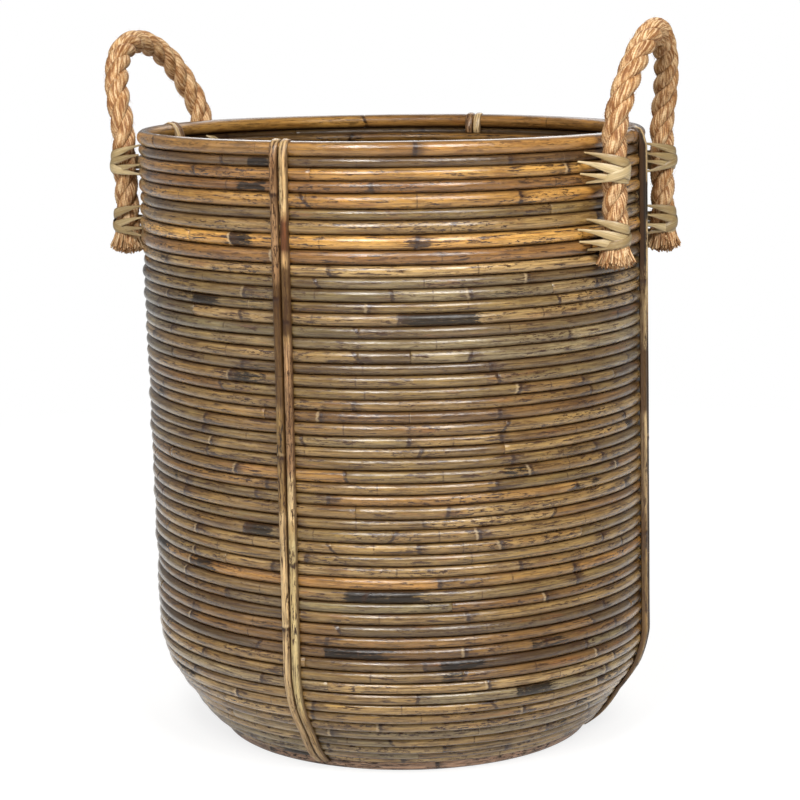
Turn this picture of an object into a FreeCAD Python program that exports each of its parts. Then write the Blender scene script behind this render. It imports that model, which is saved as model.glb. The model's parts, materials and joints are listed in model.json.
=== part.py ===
import FreeCAD
import Part
import math
import os
import Sketcher

# Open round laundry hamper of stacked canes with two rope handles.
# Millimetres, +Z up, origin on the floor under the middle of the basket.
# The handles stand on the X axis, and the four pairs of rib canes on the X and Y axes.
# Each course of the wall is one long cane bent into a ring, whose ends butt together.

SHEET = "Sizes"
COURSE_GROUP = 3  # courses of the wall that share one node
BASE_GROUP = 6  # rings of the base that share one node, counted from the outside

# Steps of the stagger from the rim's butt joint to the first one of each other run of canes
UPPER_STAGGER = 1
WALL_STAGGER = 3
CORNER_STAGGER = 2
BASE_STAGGER = 0
HOOP_STAGGER = 5

SIZES = {
    # canes of the wall
    "wall_radius": 210.0,  # outer face of the rim and of the thick upper courses
    "rim_cane": 11.5,
    "upper_cane": 9.95,
    "wall_cane": 9.1,
    "seam": 0.25,  # between neighbouring canes
    "upper_courses": 8,
    "wall_courses": 35,
    "corner_radius": 102.5,  # outer face of the rounded foot of the wall
    "corner_courses": 10,
    "butt_gap": 0.4,  # between the two ends of a course
    "joint_stagger": 137.5,  # degrees from one course's butt joint to the next one's
    # foot and base
    "foot_cane": 11.0,
    "foot_flat": 0.3,  # worn off the underside of the foot ring
    "foot_drop": 7.2,  # of the foot ring's centre under the lowest course's
    # frame inside
    "stake_cane": 12.0,
    "stake_bend": 66.0,
    "spoke_gap": 0.6,  # from a spoke's end to the flanks of the spokes beside it
    "hoop_cane": 8.7,
    "hoop_drop": 16.0,  # from the rim's top to the hoop's
    "seat_gap": 0.3,  # between a piece and what it is nailed or lashed to
    # split rib canes outside
    "rib_cane": 8.2,
    "rib_thickness": 4.4,
    "rib_pair_gap": 0.8,
    # rope handles
    "rope": 20.0,
    "rope_clearance": 4.0,  # from the wall to the rope, for the strips that pass behind it
    "handle_half_angle": 19.0,
    "leg_drop": 105.0,  # from the rim's top to the rope's cut end
    "leg_end_round": 3.0,
    "bend_rise": 5.0,  # of the line about which a handle bends, over the rim's top
    "flex_length": 24.0,
    "arch_centre_rise": 3.0,
    "handle_lean": 16.0,
    # lashings of cane peel
    "peel_thickness": 1.2,
    "peel_width": 5.0,
    "peel_turns": 4,
    "fan_reach": 20.0,  # from the rope's middle to the ends between the canes
    "gather_reach": 12.0,
    "gather_pitch": 4.4,
    "gather_drop": 5.0,  # of the gathered side under the middle of the fan
    "upper_lashing_drop": 26.0,  # from the rim's top to the middle of the fan
    "lower_lashing_drop": 77.0,
}

doc = FreeCAD.newDocument("hamper")
sheet = doc.addObject("Spreadsheet::Sheet", SHEET)
for row, (alias, value) in enumerate(SIZES.items(), start=1):
    sheet.set(f"A{row}", alias)
    sheet.set(f"B{row}", str(value))
    sheet.setAlias(f"B{row}", alias)
doc.recompute()


def size(alias):
    return float(sheet.get(alias))


def cell(alias):
    return f"{SHEET}.{alias}"


# Places that several pieces share, as expressions over the sheet
HALF_WALL_CANE = f"{cell('wall_cane')} / 2"
WALL_PITCH = f"({cell('wall_cane')} + {cell('seam')})"
UPPER_PITCH = f"({cell('upper_cane')} + {cell('seam')})"
COURSE_RADIUS = f"({cell('wall_radius')} - {cell('upper_cane')} / 2)"
CORNER_BEND = f"({cell('corner_radius')} - {HALF_WALL_CANE})"
CORNER_CENTRE = f"({COURSE_RADIUS} - {CORNER_BEND})"
CORNER_STEP = f"(2 * asin({WALL_PITCH} / 2 / {CORNER_BEND}))"
CORNER_SWEEP = f"({cell('corner_courses')} * {CORNER_STEP})"
LOWEST_RADIUS = f"({CORNER_CENTRE} + {CORNER_BEND} * cos({CORNER_SWEEP}))"
FOOT_CENTRE = f"({cell('foot_cane')} / 2 - {cell('foot_flat')})"
LOWEST_HEIGHT = f"({FOOT_CENTRE} + {cell('foot_drop')})"
FOOT_TO_CANE = f"(({cell('foot_cane')} + {cell('wall_cane')}) / 2 + {cell('seam')})"
FOOT_RADIUS = f"({LOWEST_RADIUS} - sqrt({FOOT_TO_CANE}^2 - {cell('foot_drop')}^2))"
WALL_START = f"({LOWEST_HEIGHT} + {CORNER_BEND} * sin({CORNER_SWEEP}))"
UPPER_START = (
    f"({WALL_START} + ({cell('wall_courses')} - 1) * {WALL_PITCH}"
    f" + ({cell('wall_cane')} + {cell('upper_cane')}) / 2 + {cell('seam')})"
)
RIM_HEIGHT = (
    f"({UPPER_START} + ({cell('upper_courses')} - 1) * {UPPER_PITCH}"
    f" + ({cell('upper_cane')} + {cell('rim_cane')}) / 2 + {cell('seam')})"
)
RIM_RADIUS = f"({cell('wall_radius')} - {cell('rim_cane')} / 2)"
RIM_TOP = f"({RIM_HEIGHT} + {cell('rim_cane')} / 2)"
INNER_FACE = f"({cell('wall_radius')} - {cell('upper_cane')} - {cell('seat_gap')})"
HOOP_RADIUS = f"({INNER_FACE} - {cell('hoop_cane')} / 2)"
HOOP_HEIGHT = f"({RIM_TOP} - {cell('hoop_drop')} - {cell('hoop_cane')} / 2)"
STAKE_RADIUS = f"({INNER_FACE} - {cell('stake_cane')} / 2)"
LEG_RADIUS = f"({cell('wall_radius')} + {cell('rope_clearance')} + {cell('rope')} / 2)"
BEND_HEIGHT = f"({RIM_TOP} + {cell('bend_rise')})"
LEG_X = f"({LEG_RADIUS} * cos({cell('handle_half_angle')}))"
LEG_Y = f"({LEG_RADIUS} * sin({cell('handle_half_angle')}))"

probe = doc.addObject("Part::Vertex", "probe")


def value_of(expression):
    """The number that an expression over the sheet has now."""
    probe.setExpression("X", f"({expression}) * 1")
    probe.recompute()
    return probe.X.Value


def bind(thing, **expressions):
    """Ties properties to the sheet; double underscores stand for the dots of a path."""
    for path, expression in expressions.items():
        name = path.replace("__", ".")
        if "." in name:
            name = "." + name
        thing.setExpression(name, expression)


nodes = []


def keep(thing, label):
    """Makes an object of the document a sub-part of its own."""
    thing.Label = label
    nodes.append(thing)
    return thing


def compound(label, members):
    group = doc.addObject("Part::Compound", label)
    group.Links = members
    return keep(group, label)


# --- canes of the wall -------------------------------------------------------


def cane_ring(name, radius, cane, height, turn):
    """One course: a long cane bent round the basket, with a gap where its ends butt."""
    ring = doc.addObject("Part::Torus", name)
    gap_angle = f"{cell('butt_gap')} / {radius} * 180 / pi"
    bind(
        ring,
        Radius1=radius,
        Radius2=f"{cane} / 2",
        Angle3=f"360 - {gap_angle}",
        Placement__Base__z=height,
        Placement__Rotation__Angle=f"mod({turn} * {cell('joint_stagger')}; 360)",
    )
    return ring


def courses_in_groups(prefix, courses):
    """Joins a run of courses into nodes, named by the numbers of their first and last course."""
    for first in range(0, len(courses), COURSE_GROUP):
        group = courses[first : first + COURSE_GROUP]
        label = f"{prefix}_{first + 1:02d}"
        if len(group) > 1:
            label += f"_to_{first + len(group):02d}"
        compound(label, group)


def make_rim():
    ring = cane_ring("rim_cane", RIM_RADIUS, cell("rim_cane"), RIM_HEIGHT, 0)
    keep(ring, "rim_cane")


def make_upper_courses():
    """The thick honey-coloured courses under the rim, numbered from the rim down."""
    count = int(size("upper_courses"))
    for below_first in range(count):
        height = f"{UPPER_START} + {count - 1 - below_first} * {UPPER_PITCH}"
        label = f"upper_course_{below_first + 1:02d}"
        turn = UPPER_STAGGER + below_first
        keep(cane_ring(label, COURSE_RADIUS, cell("upper_cane"), height, turn), label)


def make_wall_courses():
    """The thinner courses of the straight wall, numbered from the top down."""
    count = int(size("wall_courses"))
    courses = []
    for below_first in range(count):
        height = f"{WALL_START} + {count - 1 - below_first} * {WALL_PITCH}"
        name = f"wall_course_{below_first + 1}"
        turn = WALL_STAGGER + below_first
        courses.append(cane_ring(name, COURSE_RADIUS, cell("wall_cane"), height, turn))
    courses_in_groups("wall_courses", courses)


def make_corner_courses():
    """The courses that round the foot of the wall, numbered from the top down."""
    courses = []
    for number in range(1, int(size("corner_courses")) + 1):
        radius = f"({CORNER_CENTRE} + {CORNER_BEND} * cos({number} * {CORNER_STEP}))"
        height = f"{WALL_START} - {CORNER_BEND} * sin({number} * {CORNER_STEP})"
        name = f"corner_course_{number}"
        turn = CORNER_STAGGER + number - 1
        courses.append(cane_ring(name, radius, cell("wall_cane"), height, turn))
    courses_in_groups("corner_courses", courses)


# --- foot ring and base ------------------------------------------------------


def base_start():
    """Radius and height of the outermost base cane, which nests on the foot ring and the
    lowest course of the wall."""
    foot_radius = value_of(FOOT_RADIUS)
    foot_height = value_of(FOOT_CENTRE)
    lowest_radius = value_of(LOWEST_RADIUS)
    lowest_height = value_of(LOWEST_HEIGHT)
    from_foot = value_of(FOOT_TO_CANE)
    from_lowest = value_of(WALL_PITCH)
    across = lowest_radius - foot_radius
    rise = lowest_height - foot_height
    span = math.hypot(across, rise)
    along = (from_foot**2 - from_lowest**2 + span**2) / (2 * span)
    off = math.sqrt(from_foot**2 - along**2)
    radius = foot_radius + (along * across - off * rise) / span
    height = foot_height + (along * rise + off * across) / span
    return radius, height


def make_base():
    """Rings of cane laid side by side, from the foot ring to the middle, in three nodes."""
    start_radius, height = base_start()
    pitch = size("wall_cane") + size("seam")
    smallest = size("wall_cane") / 2 + size("seam")
    count = int((start_radius - smallest) / pitch) + 1
    rings = []
    for number in range(count):
        radius = f"({start_radius} - {number} * {WALL_PITCH})"
        name = f"base_ring_{number + 1}"
        turn = BASE_STAGGER + number
        rings.append(cane_ring(name, radius, cell("wall_cane"), f"{height}", turn))
    compound("base_rings_outer", rings[:BASE_GROUP])
    compound("base_rings_middle", rings[BASE_GROUP : 2 * BASE_GROUP])
    compound("base_rings_inner", rings[2 * BASE_GROUP :])
    return height


# --- sketches ----------------------------------------------------------------


def plane_of(body, role):
    for feature in body.Origin.OriginFeatures:
        if feature.Role == role:
            return feature


def new_body(name):
    return doc.addObject("PartDesign::Body", name)


def new_sketch(body, name, role):
    sketch = body.newObject("Sketcher::SketchObject", name)
    sketch.AttachmentSupport = (plane_of(body, role), [""])
    sketch.MapMode = "FlatFace"
    return sketch


def line(sketch, start, end):
    return sketch.addGeometry(
        Part.LineSegment(FreeCAD.Vector(*start, 0), FreeCAD.Vector(*end, 0)), False
    )


def circle(sketch, centre, radius):
    normal = FreeCAD.Vector(0, 0, 1)
    return sketch.addGeometry(
        Part.Circle(FreeCAD.Vector(*centre, 0), normal, radius), False
    )


def arc(sketch, centre, radius, start, end):
    """An arc counted anticlockwise from start to end, in degrees."""
    normal = FreeCAD.Vector(0, 0, 1)
    whole = Part.Circle(FreeCAD.Vector(*centre, 0), normal, radius)
    return sketch.addGeometry(
        Part.ArcOfCircle(whole, math.radians(start), math.radians(end)), False
    )


def dimension(sketch, kind, *arguments):
    """Adds a driving dimension whose last argument is an expression over the sheet."""
    expression = arguments[-1]
    index = sketch.addConstraint(
        Sketcher.Constraint(kind, *arguments[:-1], value_of(expression))
    )
    sketch.setExpression(f"Constraints[{index}]", expression)


def rule(sketch, kind, *arguments):
    sketch.addConstraint(Sketcher.Constraint(kind, *arguments))


START = 1
END = 2
CENTRE = 3
ORIGIN = (-1, 1)


def centred_circle(sketch, across, up, radius):
    """A circle at two expressions from the origin, with an expression for its radius."""
    ring = circle(sketch, (value_of(across), value_of(up)), value_of(radius))
    dimension(sketch, "DistanceX", *ORIGIN, ring, CENTRE, across)
    if up == "0":
        rule(sketch, "PointOnObject", ring, CENTRE, -1)
    else:
        dimension(sketch, "DistanceY", *ORIGIN, ring, CENTRE, up)
    dimension(sketch, "Radius", ring, radius)
    return ring


def make_foot_ring():
    """One thick cane, flat underneath where it stands."""
    body = new_body("foot_ring")
    section = new_sketch(body, "foot_section", "XZ_Plane")
    radius = size("foot_cane") / 2
    height = value_of(FOOT_CENTRE)
    middle = value_of(FOOT_RADIUS)
    half_flat = math.sqrt(radius**2 - height**2)
    edge = math.degrees(math.asin(height / radius))
    cane = arc(section, (middle, height), radius, -edge, 180 + edge)
    flat = line(section, (middle - half_flat, 0), (middle + half_flat, 0))
    rule(section, "Coincident", cane, END, flat, START)
    rule(section, "Coincident", flat, END, cane, START)
    rule(section, "PointOnObject", flat, START, -1)
    rule(section, "PointOnObject", flat, END, -1)
    dimension(section, "Radius", cane, f"{cell('foot_cane')} / 2")
    dimension(section, "DistanceX", *ORIGIN, cane, CENTRE, FOOT_RADIUS)
    dimension(section, "DistanceY", *ORIGIN, cane, CENTRE, FOOT_CENTRE)
    ring = body.newObject("PartDesign::Revolution", "foot_turn")
    ring.Profile = section
    ring.ReferenceAxis = (section, ["V_Axis"])
    ring.Angle = 360
    return keep(body, "foot_ring")


def swept(body, section, path):
    pipe = body.newObject("PartDesign::AdditivePipe", f"{body.Name}_sweep")
    pipe.Profile = section
    pipe.Spine = (path, [])
    return pipe


# --- frame inside ------------------------------------------------------------


def make_hoop():
    ring = cane_ring(
        "inner_hoop", HOOP_RADIUS, cell("hoop_cane"), HOOP_HEIGHT, HOOP_STAGGER
    )
    keep(ring, "inner_hoop")


def make_stake(label, azimuth, base_height):
    """A round cane down the inside of the wall and across the base as a spoke."""
    body = new_body(label)
    top = f"({HOOP_HEIGHT} - {cell('hoop_cane')} / 2 - {cell('seat_gap')})"
    spoke_height = (
        f"({base_height} + {HALF_WALL_CANE} + {cell('seat_gap')} + {cell('stake_cane')} / 2)"
    )
    inner_end = f"({cell('stake_cane')} / 2 + {cell('spoke_gap')})"
    bend = cell("stake_bend")

    section = new_sketch(body, f"{label}_section", "XY_Plane")
    bind(section, AttachmentOffset__Base__z=top)
    centred_circle(section, STAKE_RADIUS, "0", f"{cell('stake_cane')} / 2")

    path = new_sketch(body, f"{label}_path", "XZ_Plane")
    radius = value_of(STAKE_RADIUS)
    low = value_of(spoke_height)
    turn = value_of(bend)
    down = line(path, (radius, value_of(top)), (radius, low + turn))
    corner = arc(path, (radius - turn, low + turn), turn, -90, 0)
    across = line(path, (radius - turn, low), (value_of(inner_end), low))
    rule(path, "Vertical", down)
    rule(path, "Horizontal", across)
    rule(path, "Tangent", down, END, corner, END)
    rule(path, "Tangent", corner, START, across, START)
    dimension(path, "DistanceX", *ORIGIN, down, START, STAKE_RADIUS)
    dimension(path, "DistanceY", *ORIGIN, down, START, top)
    dimension(path, "Radius", corner, bend)
    dimension(path, "DistanceY", *ORIGIN, across, END, spoke_height)
    dimension(path, "DistanceX", *ORIGIN, across, END, inner_end)
    swept(body, section, path)
    body.Placement = FreeCAD.Placement(
        FreeCAD.Vector(), FreeCAD.Rotation(FreeCAD.Vector(0, 0, 1), azimuth)
    )
    return keep(body, label)


# --- rib canes outside -------------------------------------------------------


def rib_end_angle():
    """How far round the corner a rib reaches before it meets the foot ring."""
    across = value_of(FOOT_RADIUS) - value_of(CORNER_CENTRE)
    down = value_of(WALL_START) - value_of(FOOT_CENTRE)
    foot_angle = math.degrees(math.atan2(down, across))
    clear = size("foot_cane") / 2 + size("seat_gap")
    return foot_angle - math.degrees(clear / size("corner_radius"))


def make_rib(label, azimuth, side):
    """A split cane with its flat face to the wall. It starts inside above the hoop, folds
    over the rim, runs down the wall and follows the rounded corner to the foot ring."""
    body = new_body(label)
    outer = f"({cell('wall_radius')} + {cell('seat_gap')})"
    fold = f"({cell('rim_cane')} / 2 + {cell('seat_gap')})"
    inner = f"({RIM_RADIUS} - {fold})"
    tail = f"({HOOP_HEIGHT} + {cell('hoop_cane')} / 2 + {cell('seat_gap')})"
    crown = f"({cell('rib_cane')} / 2)"

    section = new_sketch(body, f"{label}_section", "XY_Plane")
    bind(section, AttachmentOffset__Base__z=tail)
    radius = value_of(crown)
    depth = size("rib_thickness") - radius
    half_flat = math.sqrt(radius**2 - depth**2)
    edge = math.degrees(math.atan2(half_flat, depth))
    flat_at = value_of(inner)
    back = arc(section, (flat_at - depth, 0), radius, edge, 360 - edge)
    flat = line(section, (flat_at, -half_flat), (flat_at, half_flat))
    rule(section, "Coincident", back, END, flat, START)
    rule(section, "Coincident", flat, END, back, START)
    rule(section, "Vertical", flat)
    rule(section, "PointOnObject", back, CENTRE, -1)
    dimension(section, "Radius", back, crown)
    dimension(section, "DistanceX", *ORIGIN, flat, START, inner)
    dimension(
        section,
        "DistanceX",
        back,
        CENTRE,
        flat,
        START,
        f"({cell('rib_thickness')} - {crown})",
    )

    path = new_sketch(body, f"{label}_path", "XZ_Plane")
    inside_x = value_of(inner)
    outside_x = value_of(outer)
    rim_x = value_of(RIM_RADIUS)
    rim_z = value_of(RIM_HEIGHT)
    start_z = value_of(WALL_START)
    centre_x = value_of(CORNER_CENTRE)
    bend = outside_x - centre_x
    end_angle = rib_end_angle()
    up = line(path, (inside_x, value_of(tail)), (inside_x, rim_z))
    over = arc(path, (rim_x, rim_z), value_of(fold), 0, 180)
    down = line(path, (outside_x, rim_z), (outside_x, start_z))
    corner = arc(path, (centre_x, start_z), bend, -end_angle, 0)
    rule(path, "Vertical", up)
    rule(path, "Tangent", up, END, over, END)
    rule(path, "Tangent", over, START, down, START)
    rule(path, "Tangent", down, END, corner, END)
    dimension(path, "DistanceX", *ORIGIN, over, CENTRE, RIM_RADIUS)
    dimension(path, "DistanceY", *ORIGIN, over, CENTRE, RIM_HEIGHT)
    dimension(path, "Radius", over, fold)
    dimension(path, "DistanceY", *ORIGIN, up, START, tail)
    dimension(path, "DistanceY", *ORIGIN, down, END, WALL_START)
    dimension(path, "DistanceX", *ORIGIN, corner, CENTRE, CORNER_CENTRE)
    end_height = f"({WALL_START} - ({outer} - {CORNER_CENTRE}) * sin({end_angle}))"
    dimension(path, "DistanceY", *ORIGIN, corner, START, end_height)
    swept(body, section, path)
    offset = side * (size("rib_cane") + size("rib_pair_gap")) / 2
    turn = FreeCAD.Rotation(FreeCAD.Vector(0, 0, 1), azimuth)
    shift = turn.multVec(FreeCAD.Vector(0, offset, 0))
    body.Placement = FreeCAD.Placement(shift, turn)
    return keep(body, label)


# --- rope handles ------------------------------------------------------------

LEG_SIDES = {"front": -1, "rear": 1}
HANDLES = {"right": 1, "left": -1}


def make_legs(hand, sign):
    """The two ends of the rope that lie along the wall, with worn cut ends."""
    legs = []
    for place, side in LEG_SIDES.items():
        body = new_body(f"{hand}_{place}_leg")
        section = new_sketch(body, f"{hand}_{place}_leg_section", "XY_Plane")
        bind(section, AttachmentOffset__Base__z=f"{RIM_TOP} - {cell('leg_drop')}")
        centred_circle(
            section,
            f"{sign} * {LEG_X}",
            f"{side} * {LEG_Y}",
            f"{cell('rope')} / 2",
        )
        rope = body.newObject("PartDesign::Pad", f"{hand}_{place}_leg_length")
        rope.Profile = section
        bind(
            rope,
            Length=f"{cell('leg_drop')} + {cell('bend_rise')} - {cell('flex_length')} / 2",
        )
        doc.recompute()
        lowest = min(
            range(len(rope.Shape.Edges)),
            key=lambda n: rope.Shape.Edges[n].CenterOfMass.z,
        )
        worn = body.newObject("PartDesign::Fillet", f"{hand}_{place}_leg_end")
        worn.Base = (rope, [f"Edge{lowest + 1}"])
        bind(worn, Radius=cell("leg_end_round"))
        legs.append(body)
    compound(f"{hand}_handle_legs", legs)


def arch_start_angle():
    """Angle round the arch's circle at which the bending length of the rope ends."""
    rise = size("flex_length") / 2 - size("arch_centre_rise")
    return math.degrees(math.asin(rise / value_of(LEG_Y)))


def lean_turn(sign):
    """The turn that leans a handle outward from upright, about the line it bends on."""
    return FreeCAD.Rotation(FreeCAD.Vector(0, 1, 0), sign * size("handle_lean"))


def bend_point(sign):
    """The middle of the line on which a handle bends."""
    return FreeCAD.Vector(sign * value_of(LEG_X), 0, value_of(BEND_HEIGHT))


def make_arch(hand, sign):
    """The part of the rope that stands over the rim as a half ring, leaning outward."""
    arch = doc.addObject("Part::Torus", f"{hand}_handle_arch")
    start = arch_start_angle()
    bind(
        arch,
        Radius1=LEG_Y,
        Radius2=f"{cell('rope')} / 2",
        Angle3=f"{180 - 2 * start}",
    )
    upright = FreeCAD.Rotation(FreeCAD.Vector(0, 0, 1), 90).multiply(
        FreeCAD.Rotation(FreeCAD.Vector(1, 0, 0), 90)
    )
    first_end = FreeCAD.Rotation(FreeCAD.Vector(0, 0, 1), start)
    lean = lean_turn(sign)
    centre = lean.multVec(FreeCAD.Vector(0, 0, size("arch_centre_rise")))
    arch.Placement = FreeCAD.Placement(
        bend_point(sign) + centre, lean.multiply(upright).multiply(first_end)
    )
    return keep(arch, f"{hand}_handle_arch")


def make_flex(hand, sign):
    """The short lengths of rope that bend between the legs and the arch."""
    lean = lean_turn(sign)
    start = math.radians(arch_start_angle())
    reach = value_of(LEG_Y)
    lengths = []
    for place, side in LEG_SIDES.items():
        body = new_body(f"{hand}_{place}_flex")
        lower = new_sketch(body, f"{hand}_{place}_flex_lower", "XY_Plane")
        bind(
            lower,
            AttachmentOffset__Base__z=f"{BEND_HEIGHT} - {cell('flex_length')} / 2",
        )
        centred_circle(
            lower,
            f"{sign} * {LEG_X}",
            f"{side} * {LEG_Y}",
            f"{cell('rope')} / 2",
        )
        upper = new_sketch(body, f"{hand}_{place}_flex_upper", "XY_Plane")
        on_arch = FreeCAD.Vector(
            0,
            side * reach * math.cos(start),
            size("arch_centre_rise") + reach * math.sin(start),
        )
        tilt = FreeCAD.Rotation(FreeCAD.Vector(1, 0, 0), side * math.degrees(start))
        upper.AttachmentOffset = FreeCAD.Placement(
            bend_point(sign) + lean.multVec(on_arch), lean.multiply(tilt)
        )
        ring = circle(upper, (0, 0), size("rope") / 2)
        rule(upper, "Coincident", ring, CENTRE, *ORIGIN)
        dimension(upper, "Radius", ring, f"{cell('rope')} / 2")
        loft = body.newObject("PartDesign::AdditiveLoft", f"{hand}_{place}_flex_loft")
        loft.Profile = lower
        loft.Sections = [upper]
        loft.Ruled = True
        lengths.append(body)
    compound(f"{hand}_handle_flex", lengths)


# --- lashings of cane peel ---------------------------------------------------


def strip_over_rope(fan, radius):
    """A line bent over the rope at a radius from its axis: its end between the canes of the
    wall on the fan side, where it meets the rope, its crest, where it leaves the rope, and its
    end on the gathered side. The rope's axis is the origin, and the wall lies at negative Y."""
    wall_at = size("seat_gap") - size("rope_clearance") - size("rope") / 2
    inner = size("rope") / 2 + size("seat_gap")
    sides = []
    for reach, turn in ((size("fan_reach"), fan), (size("gather_reach"), -fan)):
        angle = math.atan2(reach, wall_at) - math.acos(inner / math.hypot(reach, wall_at))
        leaves = radius * FreeCAD.Vector(turn * math.sin(angle), math.cos(angle), 0)
        run = FreeCAD.Vector(turn * math.cos(angle), -math.sin(angle), 0)
        end = leaves + run * ((wall_at - leaves.y) / run.y)
        sides.append((end, leaves))
    (fan_end, fan_leaves), (gather_end, gather_leaves) = sides
    return fan_end, fan_leaves, FreeCAD.Vector(0, radius, 0), gather_leaves, gather_end


def pass_edge(fan, number, edge):
    """Both ends of the upper (1) or lower (-1) edge of a pass, seen square to the wall."""
    middle = (size("peel_turns") - 1) / 2 - number
    half_width = edge * size("peel_width") / 2
    fan_z = middle * (size("upper_cane") + size("seam")) + half_width
    gather_z = middle * size("gather_pitch") - size("gather_drop") + half_width
    return (fan * size("fan_reach"), fan_z), (-fan * size("gather_reach"), gather_z)


def edge_point(edge, across):
    """The point of a pass's edge, or of its straight continuation, at a distance across."""
    (x0, z0), (x1, z1) = edge
    return across, z0 + (z1 - z0) * (across - x0) / (x1 - x0)


def make_lashing(label, hand, place, drop):
    """One long strip of peel passed several times over a leg of rope. The passes fan out into
    the seams of the wall on the front side of the rope and gather on the other. Its body is a
    band bent over the rope, cut away between the passes. Local X runs along the wall, local Y
    away from it, and the rope's axis is the origin."""
    fan = HANDLES[hand]
    inner_radius = size("rope") / 2 + size("seat_gap")
    inner = strip_over_rope(fan, inner_radius)
    outer = strip_over_rope(fan, inner_radius + size("peel_thickness"))

    body = new_body(label)
    section = new_sketch(body, f"{label}_section", "XY_Plane")
    for fan_end, fan_leaves, crest, gather_leaves, gather_end in (inner, outer):
        section.addGeometry(Part.LineSegment(fan_end, fan_leaves), False)
        section.addGeometry(Part.Arc(fan_leaves, crest, gather_leaves), False)
        section.addGeometry(Part.LineSegment(gather_leaves, gather_end), False)
    section.addGeometry(Part.LineSegment(inner[0], outer[0]), False)
    section.addGeometry(Part.LineSegment(inner[-1], outer[-1]), False)
    passes = int(size("peel_turns"))
    first = pass_edge(fan, 0, 1)
    last = pass_edge(fan, passes - 1, -1)
    reach_up = max(z for _, z in first + last) + size("gather_drop")
    band = body.newObject("PartDesign::Pad", f"{label}_band")
    band.Profile = section
    band.Midplane = True
    band.Length = 2 * reach_up

    windows = new_sketch(body, f"{label}_windows", "XZ_Plane")

    def window(points):
        for here, there in zip(points, points[1:] + points[:1]):
            line(windows, here, there)

    margin = size("peel_width")
    beyond_fan = fan * (size("fan_reach") + margin)
    beyond_gather = -fan * (size("gather_reach") + margin)
    for edge, level in ((first, reach_up + margin), (last, -reach_up - margin)):
        window(
            [
                edge_point(edge, beyond_fan),
                edge_point(edge, beyond_gather),
                (beyond_gather, level),
                (beyond_fan, level),
            ]
        )
    for number in range(passes - 1):
        upper = pass_edge(fan, number, -1)
        lower = pass_edge(fan, number + 1, 1)
        (fan_x, upper_fan_z), (gather_x, upper_gather_z) = upper
        (_, lower_fan_z), (_, lower_gather_z) = lower
        gap_fan = upper_fan_z - lower_fan_z
        gap_gather = upper_gather_z - lower_gather_z
        meet = fan_x + (gather_x - fan_x) * gap_fan / (gap_fan - gap_gather)
        window(
            [
                edge_point(upper, beyond_fan),
                edge_point(lower, beyond_fan),
                edge_point(upper, meet),
            ]
        )
    cut = body.newObject("PartDesign::Pocket", f"{label}_cut")
    cut.Profile = windows
    cut.Type = "ThroughAll"
    cut.Midplane = True

    azimuth = LEG_SIDES[place] * size("handle_half_angle")
    if fan < 0:
        azimuth = 180 - azimuth
    outward = math.radians(azimuth)
    radius = value_of(LEG_RADIUS)
    height = value_of(RIM_TOP) - drop
    body.Placement = FreeCAD.Placement(
        FreeCAD.Vector(radius * math.cos(outward), radius * math.sin(outward), height),
        FreeCAD.Rotation(FreeCAD.Vector(0, 0, 1), azimuth - 90),
    )
    return keep(body, label)


# --- the whole hamper --------------------------------------------------------

RIB_PLACES = {"right": 0, "rear": 90, "left": 180, "front": 270}

make_rim()
make_upper_courses()
make_wall_courses()
make_corner_courses()
make_foot_ring()
base_height = make_base()
make_hoop()
for place, azimuth in RIB_PLACES.items():
    make_stake(f"{place}_stake", azimuth, base_height)
    make_rib(f"{place}_rib_a", azimuth, -1)
    make_rib(f"{place}_rib_b", azimuth, 1)
for hand, sign in HANDLES.items():
    make_legs(hand, sign)
    make_flex(hand, sign)
    make_arch(hand, sign)
    for place in LEG_SIDES:
        for level in ("upper", "lower"):
            label = f"{hand}_{place}_{level}_lashing"
            make_lashing(label, hand, place, size(f"{level}_lashing_drop"))

doc.recompute()
doc.removeObject("probe")
for thing in doc.Objects:
    if "Invalid" in thing.State or "Error" in thing.State:
        raise RuntimeError(f"{thing.Label} failed: {thing.State}")

os.makedirs("parts", exist_ok=True)
for node in nodes:
    if node.Shape.isNull() or not node.Shape.isValid():
        raise RuntimeError(f"{node.Label} has no valid shape")
    node.Shape.exportStep(f"parts/{node.Label}.step")
print(f"{len(nodes)} sub-parts written")
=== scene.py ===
import json
import math
import random

import bpy
import numpy as np
from mathutils import Matrix, Vector


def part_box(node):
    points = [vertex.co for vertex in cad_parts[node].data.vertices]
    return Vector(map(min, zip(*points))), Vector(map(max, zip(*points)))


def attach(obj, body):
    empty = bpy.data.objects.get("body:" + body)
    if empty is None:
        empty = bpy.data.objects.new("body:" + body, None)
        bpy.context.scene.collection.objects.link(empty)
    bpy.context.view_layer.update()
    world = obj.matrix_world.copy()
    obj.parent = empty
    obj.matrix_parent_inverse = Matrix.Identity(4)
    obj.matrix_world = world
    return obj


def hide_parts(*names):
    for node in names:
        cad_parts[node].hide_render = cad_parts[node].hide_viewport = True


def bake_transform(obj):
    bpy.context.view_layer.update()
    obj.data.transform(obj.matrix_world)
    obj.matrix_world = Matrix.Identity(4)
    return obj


# The open laundry hamper as it looks: knotted, lacquered canes, split ribs, twisted rope
# handles and strips of cane peel. Metres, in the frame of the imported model.

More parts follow.
